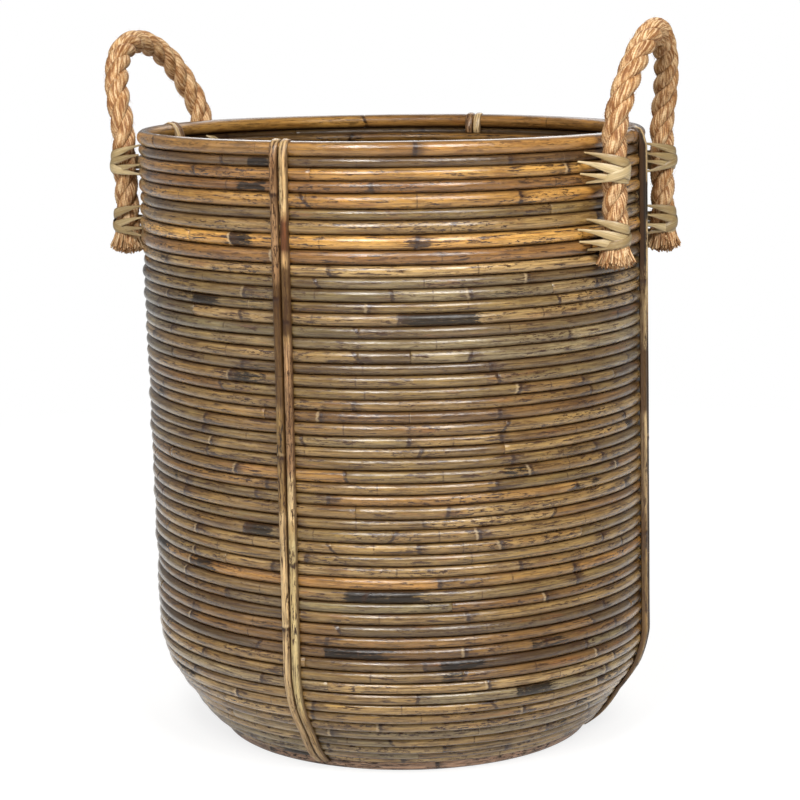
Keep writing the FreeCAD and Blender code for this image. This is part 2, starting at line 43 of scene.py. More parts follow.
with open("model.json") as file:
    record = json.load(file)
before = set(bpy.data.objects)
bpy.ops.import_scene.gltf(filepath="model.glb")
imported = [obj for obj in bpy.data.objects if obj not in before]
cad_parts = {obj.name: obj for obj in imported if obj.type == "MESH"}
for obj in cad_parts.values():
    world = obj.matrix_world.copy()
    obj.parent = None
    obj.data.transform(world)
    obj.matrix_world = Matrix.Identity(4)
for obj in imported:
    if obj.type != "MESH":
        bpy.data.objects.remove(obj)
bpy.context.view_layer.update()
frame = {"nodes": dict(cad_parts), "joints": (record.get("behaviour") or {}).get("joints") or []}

MM = 0.001
SEAM = 0.25 * MM  # between neighbouring canes
BUTT_GAP = 0.05 * MM  # between the two ends of a course
JOINT_STAGGER = 137.5  # degrees from one course's butt joint to the next one's
CAMERA_AZIMUTH = 22.0  # degrees round from the front


# --- places, from the frame ---


def ring_of(node):
    """Centre radius, centre height and thickness of a node that is one ring of cane."""
    low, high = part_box(node)
    thick = high.z - low.z
    return (high.x - low.x) / 2 - thick / 2, (high.z + low.z) / 2, thick


def rings_of(node, count):
    """The same for each ring of a node of several, stacked from the top down."""
    low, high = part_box(node)
    pitch = (high.z - low.z + SEAM) / count
    thick = pitch - SEAM
    radius = (high.x - low.x) / 2 - thick / 2
    return [(radius, high.z - thick / 2 - n * pitch, thick) for n in range(count)]


def numbered(prefix):
    """The nodes of a run of courses in order, each with its first and last number."""
    found = []
    for name in sorted(frame["nodes"]):
        if name.startswith(prefix + "_"):
            numbers = [int(part) for part in name.split("_") if part.isdigit()]
            found.append((name, numbers[0], numbers[-1]))
    return found


def uneven(rings, shares):
    """Stacked rings, given their shares of the height that they fill together."""
    top = rings[0][1] + rings[0][2] / 2
    pitch = rings[0][2] + SEAM
    scale = len(rings) / sum(shares)
    placed = []
    for (radius, _, _), share in zip(rings, shares):
        thick = pitch * share * scale - SEAM
        placed.append((radius, top - thick / 2, thick))
        top -= thick + SEAM
    return placed


# How thick each upper course is beside the mean
UPPER_SHARES = [0.80, 0.965, 0.915, 1.14, 0.86, 1.06, 1.13, 1.13]

RIM = ring_of("rim_cane")
HOOP = ring_of("inner_hoop")
WALL_RADIUS = RIM[0] + RIM[2] / 2
RIM_TOP = RIM[1] + RIM[2] / 2

upper_names = [name for name, _, _ in numbered("upper_course")]
upper_rings = uneven([ring_of(name) for name in upper_names], UPPER_SHARES)
UPPER = {name: [ring] for name, ring in zip(upper_names, upper_rings)}
TOP_COURSE = upper_rings[0]

WALL = {}
share_rng = random.Random(7)
for name, first, last in numbered("wall_courses"):
    rings = rings_of(name, last - first + 1)
    WALL[name] = uneven(rings, [share_rng.uniform(0.86, 1.14) for _ in rings])
LOWEST_WALL = rings[-1]
WALL_THICK = LOWEST_WALL[2]

# The courses of the rounded foot lie on an arc from the lowest wall course
last_corner, _, CORNER_COURSES = numbered("corner_courses")[-1]
CORNER_END = ring_of(last_corner)
corner_sweep = 2 * math.atan2(LOWEST_WALL[0] - CORNER_END[0], LOWEST_WALL[1] - CORNER_END[1])
CORNER_BEND = (LOWEST_WALL[1] - CORNER_END[1]) / math.sin(corner_sweep)
CORNER_CENTRE = LOWEST_WALL[0] - CORNER_BEND


def corner_ring(number):
    angle = corner_sweep * number / CORNER_COURSES
    return (
        CORNER_CENTRE + CORNER_BEND * math.cos(angle),
        LOWEST_WALL[1] - CORNER_BEND * math.sin(angle),
        WALL_THICK,
    )


CORNER = {
    name: [corner_ring(number) for number in range(first, last + 1)]
    for name, first, last in numbered("corner_courses")
}
FOOT_LOW, FOOT_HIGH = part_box("foot_ring")
# The flat rings of the base: how many a node has, from the outer edge in
BASE_GROUPS = {"base_rings_outer": 6, "base_rings_middle": 6, "base_rings_inner": 5}
base_radius, base_height, _ = ring_of("base_rings_outer")
BASE = {}
laid = 0
for name, count in BASE_GROUPS.items():
    radii = [base_radius - n * (WALL_THICK + SEAM) for n in range(laid, laid + count)]
    BASE[name] = [(radius, base_height, WALL_THICK) for radius in radii]
    laid += count


# --- meshes ---


class Surface:
    """Gathers tubes into one mesh, with the values that its material reads."""

    KINDS = {3: ("FLOAT_VECTOR", "vector"), 4: ("FLOAT_COLOR", "color")}

    def __init__(self):
        self.points = []
        self.faces = []
        self.values = {}
        self.count = 0

    def tube(self, rings, **values):
        """Rings of points from one end to the other, closed round and capped. A value is one
        vector or colour, or one for each station and place round the ring."""
        stations, around, _ = rings.shape
        index = self.count + np.arange(stations * around).reshape(stations, around)
        beside = np.roll(index, -1, axis=1)
        quads = np.stack([index[:-1], beside[:-1], beside[1:], index[1:]], axis=-1)
        self.faces += quads.reshape(-1, 4).tolist()
        self.faces.append(index[0][::-1].tolist())
        self.faces.append(index[-1].tolist())
        self.points.append(rings.reshape(-1, 3))
        for name, value in values.items():
            spread = np.broadcast_to(value, (stations, around, value.shape[-1]))
            self.values.setdefault(name, []).append(spread.reshape(-1, value.shape[-1]))
        self.count += stations * around

    def make(self, name, material, sharp_angle=50):
        mesh = bpy.data.meshes.new(name)
        mesh.from_pydata(np.concatenate(self.points), [], self.faces)
        for key, parts in self.values.items():
            data = np.concatenate(parts).astype(np.float32)
            kind, field = self.KINDS[data.shape[1]]
            layer = mesh.attributes.new(key, kind, "POINT")
            layer.data.foreach_set(field, data.ravel())
        mesh.shade_smooth()
        mesh.set_sharp_from_angle(angle=math.radians(sharp_angle))
        mesh.materials.append(material)
        piece = bpy.data.objects.new(name, mesh)
        bpy.context.scene.collection.objects.link(piece)
        return piece


def finish_piece(piece, slot, *nodes):
    """Puts a piece on the basket's body in place of nodes, and hides those. The slot is not used.
    """
    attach(piece, "basket")
    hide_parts(*nodes)


# --- lines and layers of numbers ---


def smoothstep(edge0, edge1, x):
    t = np.clip((np.asarray(x, float) - edge0) / (edge1 - edge0), 0, 1)
    return t * t * (3 - 2 * t)


def bell(offset, width):
    return np.exp(-((offset / width) ** 2))


def unit(vectors):
    return vectors / np.linalg.norm(vectors, axis=-1, keepdims=True)


def turned(angle, first, second):
    """The direction at an angle from the first towards the second."""
    return math.cos(angle) * first + math.sin(angle) * second


def turns_round(count):
    """Angles in radians, evenly round a circle."""
    return np.arange(count) * 2 * math.pi / count


def distances(points):
    """How far along a line each of its points is."""
    steps = np.linalg.norm(np.diff(points, axis=0), axis=1)
    return np.concatenate([[0], np.cumsum(steps)])


def read_at(s, at, rows):
    """The rows that belong to distances at, read at distances s."""
    return np.stack([np.interp(s, at, column) for column in rows.T], 1)


def layers(*values):
    """Numbers side by side in a last axis, each spread over stations and places round."""
    return np.stack(np.broadcast_arrays(*values), -1)


def rings_round(points, first, first_reach, second, second_reach):
    """Rings round a line of points, which reach in two directions from each of them."""
    reach = first_reach[..., None] * first[:, None] + second_reach[..., None] * second[:, None]
    return points[:, None] + reach


# --- colours ---


def paint(red, green, blue):
    """A linear colour from 0-255 values as they are seen."""

    def linear(value):
        value /= 255
        return value / 12.92 if value <= 0.04045 else ((value + 0.055) / 1.055) ** 2.4

    return np.array([linear(red), linear(green), linear(blue), 1.0])


GOLD = paint(214, 163, 86)
HONEY = paint(192, 145, 76)
AMBER = paint(168, 124, 66)
RUSSET = paint(146, 104, 56)
UMBER = paint(100, 74, 42)
STRAW = paint(182, 150, 98)
SAND = paint(162, 131, 80)
TAN = paint(146, 117, 71)
OLIVE = paint(131, 107, 64)
BROWN = paint(130, 97, 54)
DUN = paint(112, 90, 56)
BARK = paint(86, 66, 38)
ASHEN = paint(148, 130, 94)
SLATE = paint(124, 109, 76)
ROSE = paint(168, 132, 94)
CREAM = paint(204, 176, 130)
PALE_STRAW = paint(206, 184, 132)
REDWOOD = paint(104, 64, 38)
NEAR_BLACK = paint(46, 36, 28)

RIM_TONES = [(AMBER, 5), (HONEY, 3), (RUSSET, 1)]
UPPER_TONES = {
    1: [(UMBER, 3), (OLIVE, 3), (DUN, 2)],
    2: [(HONEY, 3), (AMBER, 2), (RUSSET, 1)],
    3: [(AMBER, 3), (RUSSET, 2), (HONEY, 1)],
    4: [(GOLD, 3), (HONEY, 2)],
    5: [(DUN, 2), (OLIVE, 3), (UMBER, 1)],
    6: [(TAN, 3), (SAND, 2), (OLIVE, 1)],
    7: [(GOLD, 4), (HONEY, 1)],
    8: [(AMBER, 3), (RUSSET, 2)],
}
# The wall's canes get browner downwards: the last course of each zone and its tones
WALL_ZONES = [
    (8, [(ASHEN, 4), (SLATE, 4), (OLIVE, 3), (STRAW, 3), (DUN, 2), (BARK, 1)]),
    (16, [(OLIVE, 4), (SAND, 3), (BROWN, 3), (TAN, 3), (SLATE, 2), (DUN, 2), (RUSSET, 1)]),
    (27, [(SAND, 4), (TAN, 4), (AMBER, 3), (OLIVE, 3), (BROWN, 2), (STRAW, 1)]),
    (35, [(TAN, 3), (DUN, 2), (BROWN, 3), (SLATE, 3), (OLIVE, 2), (BARK, 2), (SAND, 1)]),
]
CORNER_TONES = [(STRAW, 4), (ASHEN, 4), (SAND, 3), (CREAM, 1), (TAN, 1)]
FOOT_TONES = [(paint(212, 172, 142), 3), (STRAW, 1)]
BASE_TONES = [(TAN, 3), (BROWN, 3), (DUN, 2)]
HOOP_TONES = [(HONEY, 2), (STRAW, 2)]
STAKE_TONES = [(TAN, 2), (SAND, 2)]
RIB_TONES = [(ROSE, 2), (STRAW, 2), (CREAM, 2)]


def pick(rng, tones):
    total = sum(weight for _, weight in tones)
    at = rng.uniform(0, total)
    for tone, weight in tones:
        at -= weight
        if at <= 0:
            return tone
    return tones[-1][0]


# --- a length of cane ---

CANE_SIDES = 16
PRESSED = 0.3 * MM  # how far the drawn canes reach into their neighbours
STATION = 4 * MM
NODE_STEPS = np.array([-7, -4, -2.4, -1.2, -0.5, 0, 0.5, 1.2, 2.4, 4, 7]) * MM
NODE_REACH = 12 * MM
END_CHAMFER = 0.5 * MM
# Of the cane's radius: at a knot, at a splice, along its length and at its ends
NODE_RISE, SPLICE_DIP, UNEVEN, END_ROUNDING = 0.04, 0.06, 0.008, 0.5 / 6


class Cane:
    """What a course's canes look like along their length: knots, splices, tones and burnt
    marks. A knot's character runs from 0.25, a dark smudge, to 1, a pale lip; a splice has 0."""

    def __init__(
        self, length, rng, tones, node_gap=0.16, burnt=0.16, marks=(), splice_gap=0.4, tone_stretches=()
    ):
        self.length = length
        self.tone_stretches = tone_stretches
        self.offset = rng.uniform(0, 40)
        self.waves = [(rng.uniform(6, 60), rng.uniform(0, 6)) for _ in range(4)]
        stops = []
        at = rng.uniform(0.15, 1) * node_gap
        next_splice = rng.uniform(0.4, 1) * splice_gap
        self.tones = []
        main = pick(rng, tones)
        while at < length - 0.02:
            self.tones.append(self.toned(main, rng, tones))
            spliced = at > next_splice
            if spliced:
                main = pick(rng, tones)
                next_splice = at + rng.uniform(0.6, 1.4) * splice_gap
                stops.append((at, rng.choice([-1, 1]) * rng.uniform(0.1, 0.9), 0, 0))
            else:
                slant = rng.uniform(-0.25, 0.25)
                stops.append((at, slant, rng.uniform(0.25, 1), rng.uniform(0.3, 1.2)))
            at += node_gap * rng.uniform(0.35, 1.6)
        self.tones.append(self.toned(main, rng, tones))
        stops = np.array(stops).reshape(-1, 4)
        self.nodes, self.slants, self.characters, self.rises = stops.T
        self.burns = list(marks)
        for edge in [0.0, *self.nodes]:
            if rng.random() < burnt:
                reach = rng.choice([-1, 1]) * rng.uniform(0.015, 0.07)
                self.burns.append((edge, reach, rng.uniform(0.45, 1)))
            if rng.random() < burnt * 0.8:
                start = edge + rng.uniform(0, node_gap)
                self.burns.append((start, rng.uniform(0.03, 0.1), rng.uniform(0.3, 0.55)))

    def toned(self, main, rng, tones):
        share = rng.choice([0.0, 0.1, 0.25, 0.6])
        tone = main * (1 - share) + pick(rng, tones) * share
        return tone * rng.uniform(0.84, 1.14)

    def stations(self):
        """Distances along the cane: even ones, and more round each knot and at the ends."""
        even = np.linspace(0, self.length, max(4, round(self.length / STATION)))
        inner = np.concatenate([even, (self.nodes[:, None] + NODE_STEPS).ravel()])
        margin = 2 * END_CHAMFER
        inner = inner[(inner > margin) & (inner < self.length - margin)]
        ends = [0, END_CHAMFER, self.length - END_CHAMFER, self.length]
        return np.unique(np.concatenate([inner, ends]))

    def swelling(self, s):
        """Radius over the mean radius. It rises to a knot's lip, and dips behind it."""
        scale = np.ones_like(s)
        for wave, phase in self.waves:
            scale += UNEVEN * np.sin(wave * s + phase)
        for node, rise in zip(self.nodes, self.rises * NODE_RISE):
            scale += rise * bell(s - node, 1.8 * MM)
            scale -= 0.4 * rise * bell(s - node - 4 * MM, 3 * MM)
        for node in self.nodes[self.characters == 0]:
            scale -= SPLICE_DIP * bell(s - node, 0.7 * MM)
        scale[[0, -1]] -= END_ROUNDING
        return scale

    def values(self, s, phi, radius):
        """The point values that the cane material reads; phi runs round the section from the
        outer side and is 90 degrees at the lower one."""
        shape = len(s), len(phi)
        grain = layers((s + self.offset)[:, None], radius * np.cos(phi), radius * -np.sin(phi))
        burnt = np.zeros_like(s)
        for start, reach, strength in self.burns:
            along = (s - start) / reach
            scorch = strength * smoothstep(-0.01, 0.03, along) * (1 - smoothstep(0.5, 1, along))
            burnt = np.maximum(burnt, scorch)
        ring = np.full(shape, NODE_REACH)
        part = np.zeros(shape, int)
        character = np.zeros(shape)
        if len(self.nodes):
            closest = np.abs(s[:, None] - self.nodes).argmin(axis=1)
            slope = self.slants[closest][:, None] * radius * np.sin(phi)
            ring = (s - self.nodes[closest])[:, None] + slope
            part = closest[:, None] + (ring > 0)
            character = self.characters[closest][:, None]
        tone = np.array(self.tones)[part]
        for middle, half, colour in self.tone_stretches:
            share = 1 - smoothstep(0.8 * half, half, np.abs(s - middle))
            tone += share[:, None, None] * (colour - tone)
        tone[:, :, 3] = character
        near = 1 - smoothstep(0.7 * NODE_REACH, NODE_REACH, np.abs(ring))
        ring = np.clip(ring, -NODE_REACH, NODE_REACH) / NODE_REACH
        # the last layer grows towards the top and bottom of the section, where canes touch; the
        # finish paints shade there
        marks = layers(burnt[:, None], near, ring, np.abs(np.sin(phi)))
        return {"tone": tone, "grain": grain, "marks": marks}


# --- the lean and flare of the hand-made wall ---

LEAN = -0.0175  # sideways for each metre of height
LEAN_WAY = math.radians(22)
FLARE = 0.006  # how much wider the rim is than the wall's foot
# Heights, and how much narrower the rounded foot is there than the model's
FOOT_TUCK = [(0, 0.026), (12 * MM, 0.026), (36 * MM, 0.041), (62 * MM, 0.014), (90 * MM, 0)]


def settled(points):
    """Moves points of the basket as the real wall departs from an upright cylinder."""
    height = points[..., 2]
    grown = 1 + FLARE * np.clip((height - LOWEST_WALL[1]) / (RIM_TOP - LOWEST_WALL[1]), 0, None)
    grown -= np.interp(height, *zip(*FOOT_TUCK))
    shift = LEAN * (height - RIM_TOP / 2)
    moved = points.copy()
    moved[..., 0] = points[..., 0] * grown + shift * math.cos(LEAN_WAY)
    moved[..., 1] = points[..., 1] * grown + shift * math.sin(LEAN_WAY)
    return moved


# --- courses ---

BULGE = 0.6  # of what proud says, for the longest wave of a course
SWAY = 0.06 * MM  # of each wave, up and down


def course(surface, ring, turn, seed, tones, proud=0.45 * MM, marks=(), **looks):
    """A whole course, whose ends butt where the model's do. It waves a little in and out, as
    far as proud says, and up and down. A mark is an azimuth in degrees, its length and how
    burnt it is."""
    radius, height, thick = ring
    rng = random.Random(seed)
    waves = [rng.uniform(0, 2 * math.pi) for _ in range(6)]
    start = math.radians((turn * JOINT_STAGGER) % 360)
    placed = []
    for azimuth, reach, strength in marks:
        away = (math.radians(azimuth) - start) % (2 * math.pi)
        placed.append((away * radius, reach, strength))
    cane = Cane(2 * math.pi * radius - BUTT_GAP, rng, tones, marks=placed, **looks)
    s = cane.stations()
    angle = start + s / radius
    bulge = sum(np.sin((n + 2) * angle + w) / math.sqrt(n + 1) for n, w in enumerate(waves))
    sway = sum(np.sin((n + 3) * angle - w) for n, w in enumerate(waves[:4]))
    phi = turns_round(CANE_SIDES)
    size = (thick / 2 + PRESSED) * cane.swelling(s)[:, None]
    reach = (radius + BULGE * proud * bulge)[:, None] + size * np.cos(phi)
    level = (height + SWAY * sway)[:, None] - size * np.sin(phi)
    cosine, sine = np.cos(angle)[:, None], np.sin(angle)[:, None]
    rings = layers(reach * cosine, reach * sine, level)
    surface.tube(settled(rings), **cane.values(s, phi, thick / 2))


# --- materials ---


class Nodes:
    """A node tree, with short names for the nodes that this scene uses."""

    def __init__(self, tree):
        self.tree = tree

    def plug(self, value, socket):
        if isinstance(value, bpy.types.NodeSocket):
            self.tree.links.new(value, socket)
        else:
            socket.default_value = value

    def add(self, kind, inputs, **settings):
        """The outputs of a new node. Each input is linked or set."""
        node = self.tree.nodes.new(f"ShaderNode{kind}")
        for key, value in settings.items():
            setattr(node, key, value)
        for key, value in inputs.items():
            self.plug(value, node.inputs[key])
        return node.outputs

    def attribute(self, name):
        return self.add("Attribute", {}, attribute_name=name)

    def split(self, colour):
        return self.add("SeparateColor", {0: colour})

    def noise(self, grain, along, across, detail=3.0, roughness=0.55):
        """Noise on grain coordinates, scaled along and across the cane or fibre."""
        scale = (along, across, across)
        vector = self.add("VectorMath", {0: grain, 1: scale}, operation="MULTIPLY")["Vector"]
        inputs = {"Vector": vector, "Scale": 1.0, "Detail": detail, "Roughness": roughness}
        return self.add("TexNoise", inputs)["Fac"]

    def ramp(self, value, low, high, to_low=0.0, to_high=1.0, course="SMOOTHSTEP"):
        ends = {"From Min": low, "From Max": high, "To Min": to_low, "To Max": to_high}
        return self.add("MapRange", {"Value": value, **ends}, interpolation_type=course)["Result"]

    def calc(self, operation, a, b=0.0):
        return self.add("Math", {0: a, 1: b}, operation=operation)[0]

    def plus(self, a, b):
        return self.calc("ADD", a, b)

    def times(self, a, b):
        return self.calc("MULTIPLY", a, b)

    def mix(self, share, a, b, blend="MIX"):
        inputs = {"Factor": share, 6: a, 7: b}
        return self.add("Mix", inputs, data_type="RGBA", blend_type=blend)[2]

    def tint(self, colour, value, low, high, share, tone):
        """Mixes a tone in, up to the share as the value goes from low to high."""
        return self.mix(self.ramp(value, low, high, 0, share), colour, tone)

    def shade(self, colour, value, low, high, share, *factors):
        """Multiplies the colour in the same way."""
        amount = self.ramp(value, low, high, 0, share)
        return self.mix(amount, colour, (*factors, 1), "MULTIPLY")

    def bump(self, height, distance, strength, **normal):
        inputs = {"Distance": distance, "Strength": strength, "Height": height, **normal}
        return self.add("Bump", inputs)["Normal"]


class Finish(Nodes):
    """A material of one shader."""

    def __init__(self, name, specular, coat=0.0, coat_roughness=0.1):
        self.material = bpy.data.materials.new(name)
        self.material.use_nodes = True
        super().__init__(self.material.node_tree)
        self.shader = self.tree.nodes["Principled BSDF"].inputs
        self.shader["Specular IOR Level"].default_value = specular
        self.shader["Coat Weight"].default_value = coat
        self.shader["Coat Roughness"].default_value = coat_roughness

    def done(self, colour, roughness, normal):
        self.plug(colour, self.shader["Base Color"])
        self.plug(roughness, self.shader["Roughness"])
        self.plug(normal, self.shader["Normal"])
        self.plug(normal, self.shader["Coat Normal"])
        return self.material


DARK_FIBRE = paint(64, 40, 18)
BURNT = paint(22, 14, 8)
ASH = paint(124, 104, 78)
NODE_LINE = paint(50, 28, 12)
RUST = paint(138, 84, 44)
NODE_PALE = paint(214, 188, 146)
# the colour of the painted shade between canes
CREVICE_SHADE = paint(74, 50, 28)


def cane_finish(name, streaks, specks, gloss, coat=1.0, inner_shade=0.85):
    """Lacquered cane skin: streaks along the cane, dark flecks and bark, burnt patches,
    knots and splices. Painted shade darkens the canes where they touch and on the basket's inner
    side."""
    m = Finish(name, specular=0.2, coat=coat, coat_roughness=0.13)
    grain = m.attribute("grain")["Vector"]
    marks = m.attribute("marks")
    burnt, near, ring = m.split(marks["Color"])
    across = marks["Alpha"]
    tone = m.attribute("tone")
    colour, character = tone["Color"], tone["Alpha"]

    # slow mottling and patches, some of them rusty
    colour = m.shade(colour, m.noise(grain, 9, 60), 0.42, 0.7, 0.6, 0.62, 0.52, 0.4)
    colour = m.tint(colour, m.noise(grain, 20, 140, 4, 0.65), 0.57, 0.72, 0.45, RUST)
    mottle = m.noise(grain, 32, 200, 5, 0.65)
    colour = m.shade(colour, mottle, 0.5, 0.66, 0.7, 0.52, 0.42, 0.3)
    colour = m.shade(colour, mottle, 0.48, 0.34, 0.7, 1.4, 1.36, 1.28)
    # streaks and fibres along the cane
    streak = m.noise(grain, 22, 850, 4, 0.68)
    colour = m.tint(colour, streak, 0.5, 0.65, streaks, DARK_FIBRE)
    colour = m.shade(colour, streak, 0.47, 0.34, 0.6, 1.4, 1.36, 1.26)
    fine = m.noise(grain, 90, 1400, 4, 0.72)
    colour = m.shade(colour, fine, 0.48, 0.62, 0.45, 0.6, 0.5, 0.4)
    # rough stretches with rows of dark flecks, and remains of dark bark between them
    rough = m.noise(grain, 12, 75)
    fleck = m.ramp(m.noise(grain, 150, 800, 3, 0.7), 0.51, 0.58, 0, specks)
    fleck = m.times(fleck, m.ramp(rough, 0.5, 0.57, 0.1, 1))
    colour = m.mix(fleck, colour, DARK_FIBRE)
    bark = m.plus(m.noise(grain, 50, 480, 5, 0.75), m.ramp(near, 0, 1, 0, 0.05))
    bark = m.times(m.ramp(bark, 0.52, 0.59, 0, specks), m.ramp(rough, 0.5, 0.43, 0.3, 1))
    colour = m.mix(bark, colour, DARK_FIBRE)
    # burnt and weathered patches with ragged edges
    ragged = m.noise(grain, 80, 480, 5, 0.75)
    patch = m.plus(burnt, m.times(m.calc("SUBTRACT", ragged, 0.5), 2.6))
    patch = m.times(m.ramp(patch, 0.5, 0.8), m.ramp(burnt, 0.02, 0.25))
    scorched = m.mix(m.ramp(fine, 0.6, 0.68, 0, 0.35), BURNT, ASH)
    colour = m.mix(m.times(patch, 0.94), colour, scorched)
    # knots: a dark line, and a pale lip or a smudge beside it; at a splice only the line
    waver = m.calc("SUBTRACT", m.noise(grain, 90, 520, 3, 0.65), 0.5)
    waved = m.plus(ring, m.times(waver, 0.35))
    line = m.times(m.ramp(m.calc("ABSOLUTE", waved), 0.2, 0.06), near)
    broken = m.ramp(ragged, 0.34, 0.52, 0.35, 0.95)
    beside = m.calc("ABSOLUTE", m.plus(waved, 0.2))
    lip = m.times(m.ramp(beside, 0.16, 0.05), m.ramp(character, 0.6, 1.0))
    smudge = m.times(m.ramp(waved, 0.9, 0.1), m.ramp(waved, -0.3, 0.02))
    smudge = m.times(smudge, m.ramp(ragged, 0.4, 0.54))
    smudge = m.times(smudge, m.ramp(character, 0.02, 0.2))
    colour = m.mix(m.times(smudge, 0.8), colour, DARK_FIBRE)
    colour = m.mix(m.times(m.times(lip, broken), 0.5), colour, NODE_PALE)
    colour = m.mix(m.times(line, broken), colour, NODE_LINE)
    # painted shade where the canes touch, along a rib's edges too, and painted shade on the inner
    # side, which also has less lacquer
    colour = m.tint(colour, across, 0.6, 0.98, 0.8, CREVICE_SHADE)
    outward = m.add("SeparateXYZ", {0: grain})["Y"]
    # painted shade on the basket's inner side
    colour = m.shade(colour, outward, 0.2 * MM, -1.6 * MM, inner_shade, 0.2, 0.17, 0.14)
    if inner_shade:
        lacquer = m.ramp(outward, 0.2 * MM, -1.6 * MM, coat, 0.1)
        m.plug(m.times(lacquer, m.ramp(patch, 0, 1, 1, 0.5)), m.shader["Coat Weight"])

    normal = m.bump(m.plus(streak, mottle), 0.25 * MM, 0.7)
    normal = m.bump(m.plus(fine, m.plus(fleck, bark)), 0.06 * MM, 0.6, Normal=normal)
    normal = m.bump(m.times(line, -1.0), 0.3 * MM, 0.4, Normal=normal)
    return m.done(colour, m.ramp(mottle, 0.3, 0.7, gloss * 0.75, gloss * 1.5), normal)


# Each finish paints shade where canes touch; all but the inner and rib finishes also paint shade
# on the basket's inner side
RIM_CANE = cane_finish("rim_cane", streaks=0.4, specks=0.6, gloss=0.3, inner_shade=0.2)
CANE = cane_finish("lacquered_cane", streaks=0.65, specks=1.0, gloss=0.3)
WALL_CANE = cane_finish("weathered_cane", streaks=0.75, specks=1.0, gloss=0.3)
INNER_CANE = cane_finish("inner_cane", streaks=0.3, specks=0.4, gloss=0.4, coat=0.2, inner_shade=0)
RIB_CANE = cane_finish("split_cane", streaks=0.8, specks=1.0, gloss=0.4, coat=0.35, inner_shade=0)

# --- the wall, the foot and the base ---

# Scorched stretches: azimuth, length and strength by course
UPPER_MARKS = {1: [(-100, 30 * MM, 0.9)], 3: [(-95, -40 * MM, 0.8)]}
WALL_MARKS = {
    4: [(-118, 45 * MM, 1)],
    5: [(-60, 50 * MM, 1)],
    28: [(-81, 95 * MM, 1)],
    33: [(-86, 75 * MM, 0.9), (-40, 50 * MM, 0.7)],
    34: [(-61, 55 * MM, 0.9)],
}
CORNER_MARKS = {2: [(-43, 50 * MM, 0.9)]}

FOOT_THICK = 11 * MM


def upper_looks(number):
    marks = UPPER_MARKS.get(number, ())
    return {"tones": UPPER_TONES[number], "node_gap": 0.22, "burnt": 0.12, "marks": marks}


def wall_looks(number):
    tones = next(tones for last, tones in WALL_ZONES if number <= last)
    return {"tones": tones, "proud": 0.5 * MM, "marks": WALL_MARKS.get(number, ())}


def corner_looks(number):
    return {"tones": CORNER_TONES, "marks": CORNER_MARKS.get(number, ())}


def base_looks(number):
    return {"tones": BASE_TONES, "proud": 0.1 * MM}


# Runs of courses: the rings by node, what to add to a course's number for the stagger of its
# joint and for its seed, its looks, its finish and its slot
RUNS = [
    (UPPER, 0, 20, upper_looks, CANE, "upper_canes"),
    (WALL, 2, 40, wall_looks, WALL_CANE, "wall_canes"),
    (CORNER, 1, 90, corner_looks, WALL_CANE, "wall_canes"),
    (BASE, -1, 120, base_looks, INNER_CANE, "base_canes"),
]

rim_surface = Surface()
course(rim_surface, RIM, 0, 11, RIM_TONES, node_gap=0.33, burnt=0.08)
finish_piece(rim_surface.make("cane_rim", RIM_CANE), "rim_cane", "rim_cane")

for rings_by_node, turn, seed, looks, finish, slot in RUNS:
    number = 0
    for node, rings in rings_by_node.items():
        surface = Surface()
        for ring in rings:
            number += 1
            course(surface, ring, number + turn, number + seed, **looks(number))
        finish_piece(surface.make(f"cane_{node}", finish), slot, node)

hoop_surface = Surface()
course(hoop_surface, HOOP, 5, 150, HOOP_TONES, node_gap=0.4, burnt=0.05)
finish_piece(hoop_surface.make("cane_hoop", CANE), "frame_canes", "inner_hoop")

# The thick cane that the hamper stands on is worn flat underneath
foot_radius = (FOOT_HIGH.x - FOOT_LOW.x) / 2 - FOOT_THICK / 2
foot_height = FOOT_HIGH.z - FOOT_THICK / 2
foot_surface = Surface()
foot = (foot_radius, foot_height, FOOT_THICK)
course(foot_surface, foot, 0.6, 160, FOOT_TONES, 0.1 * MM, node_gap=0.24, burnt=0.1)
for points in foot_surface.points:
    points[:, 2] = np.maximum(points[:, 2], 0)
finish_piece(foot_surface.make("cane_foot", CANE), "foot_cane", "foot_ring")


# --- canes that run up and down ---


def line_points(start, end):
    return np.linspace(start, end, max(2, round(math.dist(start, end) / MM)))


def arc_points(centre, radius, start, end):
    """Points on an arc, angles in degrees, in the plane of radius and height."""
    count = max(4, round(abs(math.radians(end - start)) * radius / MM))
    angle = np.radians(np.linspace(start, end, count))
    return centre + radius * np.stack([np.cos(angle), np.sin(angle)], 1)


class Route:
    """A path in an upright plane through the basket's axis, measured along its length."""

    def __init__(self, *parts):
        points = np.concatenate(parts)
        self.points = points[np.append(True, np.diff(distances(points)) > 1e-7)]
        self.at = distances(self.points)
        self.length = self.at[-1]

    def place(self, s):
        """Radius and height at distances s, and the direction there."""
        where, ahead, behind = (read_at(s + d, self.at, self.points) for d in (0, MM, -MM))
        return where, unit(ahead - behind)


def upright_cane(
    surface, route, cane, azimuth, outline, depth, sideways=np.zeros_like, thinned=np.ones_like
):
    """A cane along a route. Its outline says how far out from the wall and how far sideways
    its section reaches, and phi. The functions say how far the cane lies to the side and how
    much of its thickness it has at distances along it."""
    out_reach, side_reach, phi = outline
    s = cane.stations()
    where, way = route.place(s)
    turn = math.radians(azimuth)
    radial = np.array([math.cos(turn), math.sin(turn), 0])
    side = np.array([[math.sin(turn), -math.cos(turn), 0]])
    up = np.array([0, 0, 1])
    centre = where[:, :1] * radial + where[:, 1:] * up + sideways(s)[:, None] * side
    out = way[:, :1] * up - way[:, 1:] * radial
    size = cane.swelling(s)[:, None]
    thick = size * thinned(s)[:, None] * out_reach
    rings = rings_round(centre, out, thick, side, size * side_reach)
    surface.tube(settled(rings), **cane.values(s, phi, depth))


STAKE_THICK = 12 * MM
STAKE_BEND = 66 * MM
STAKE_AZIMUTHS = {"right": 0, "rear": 90, "left": 180, "front": 270}

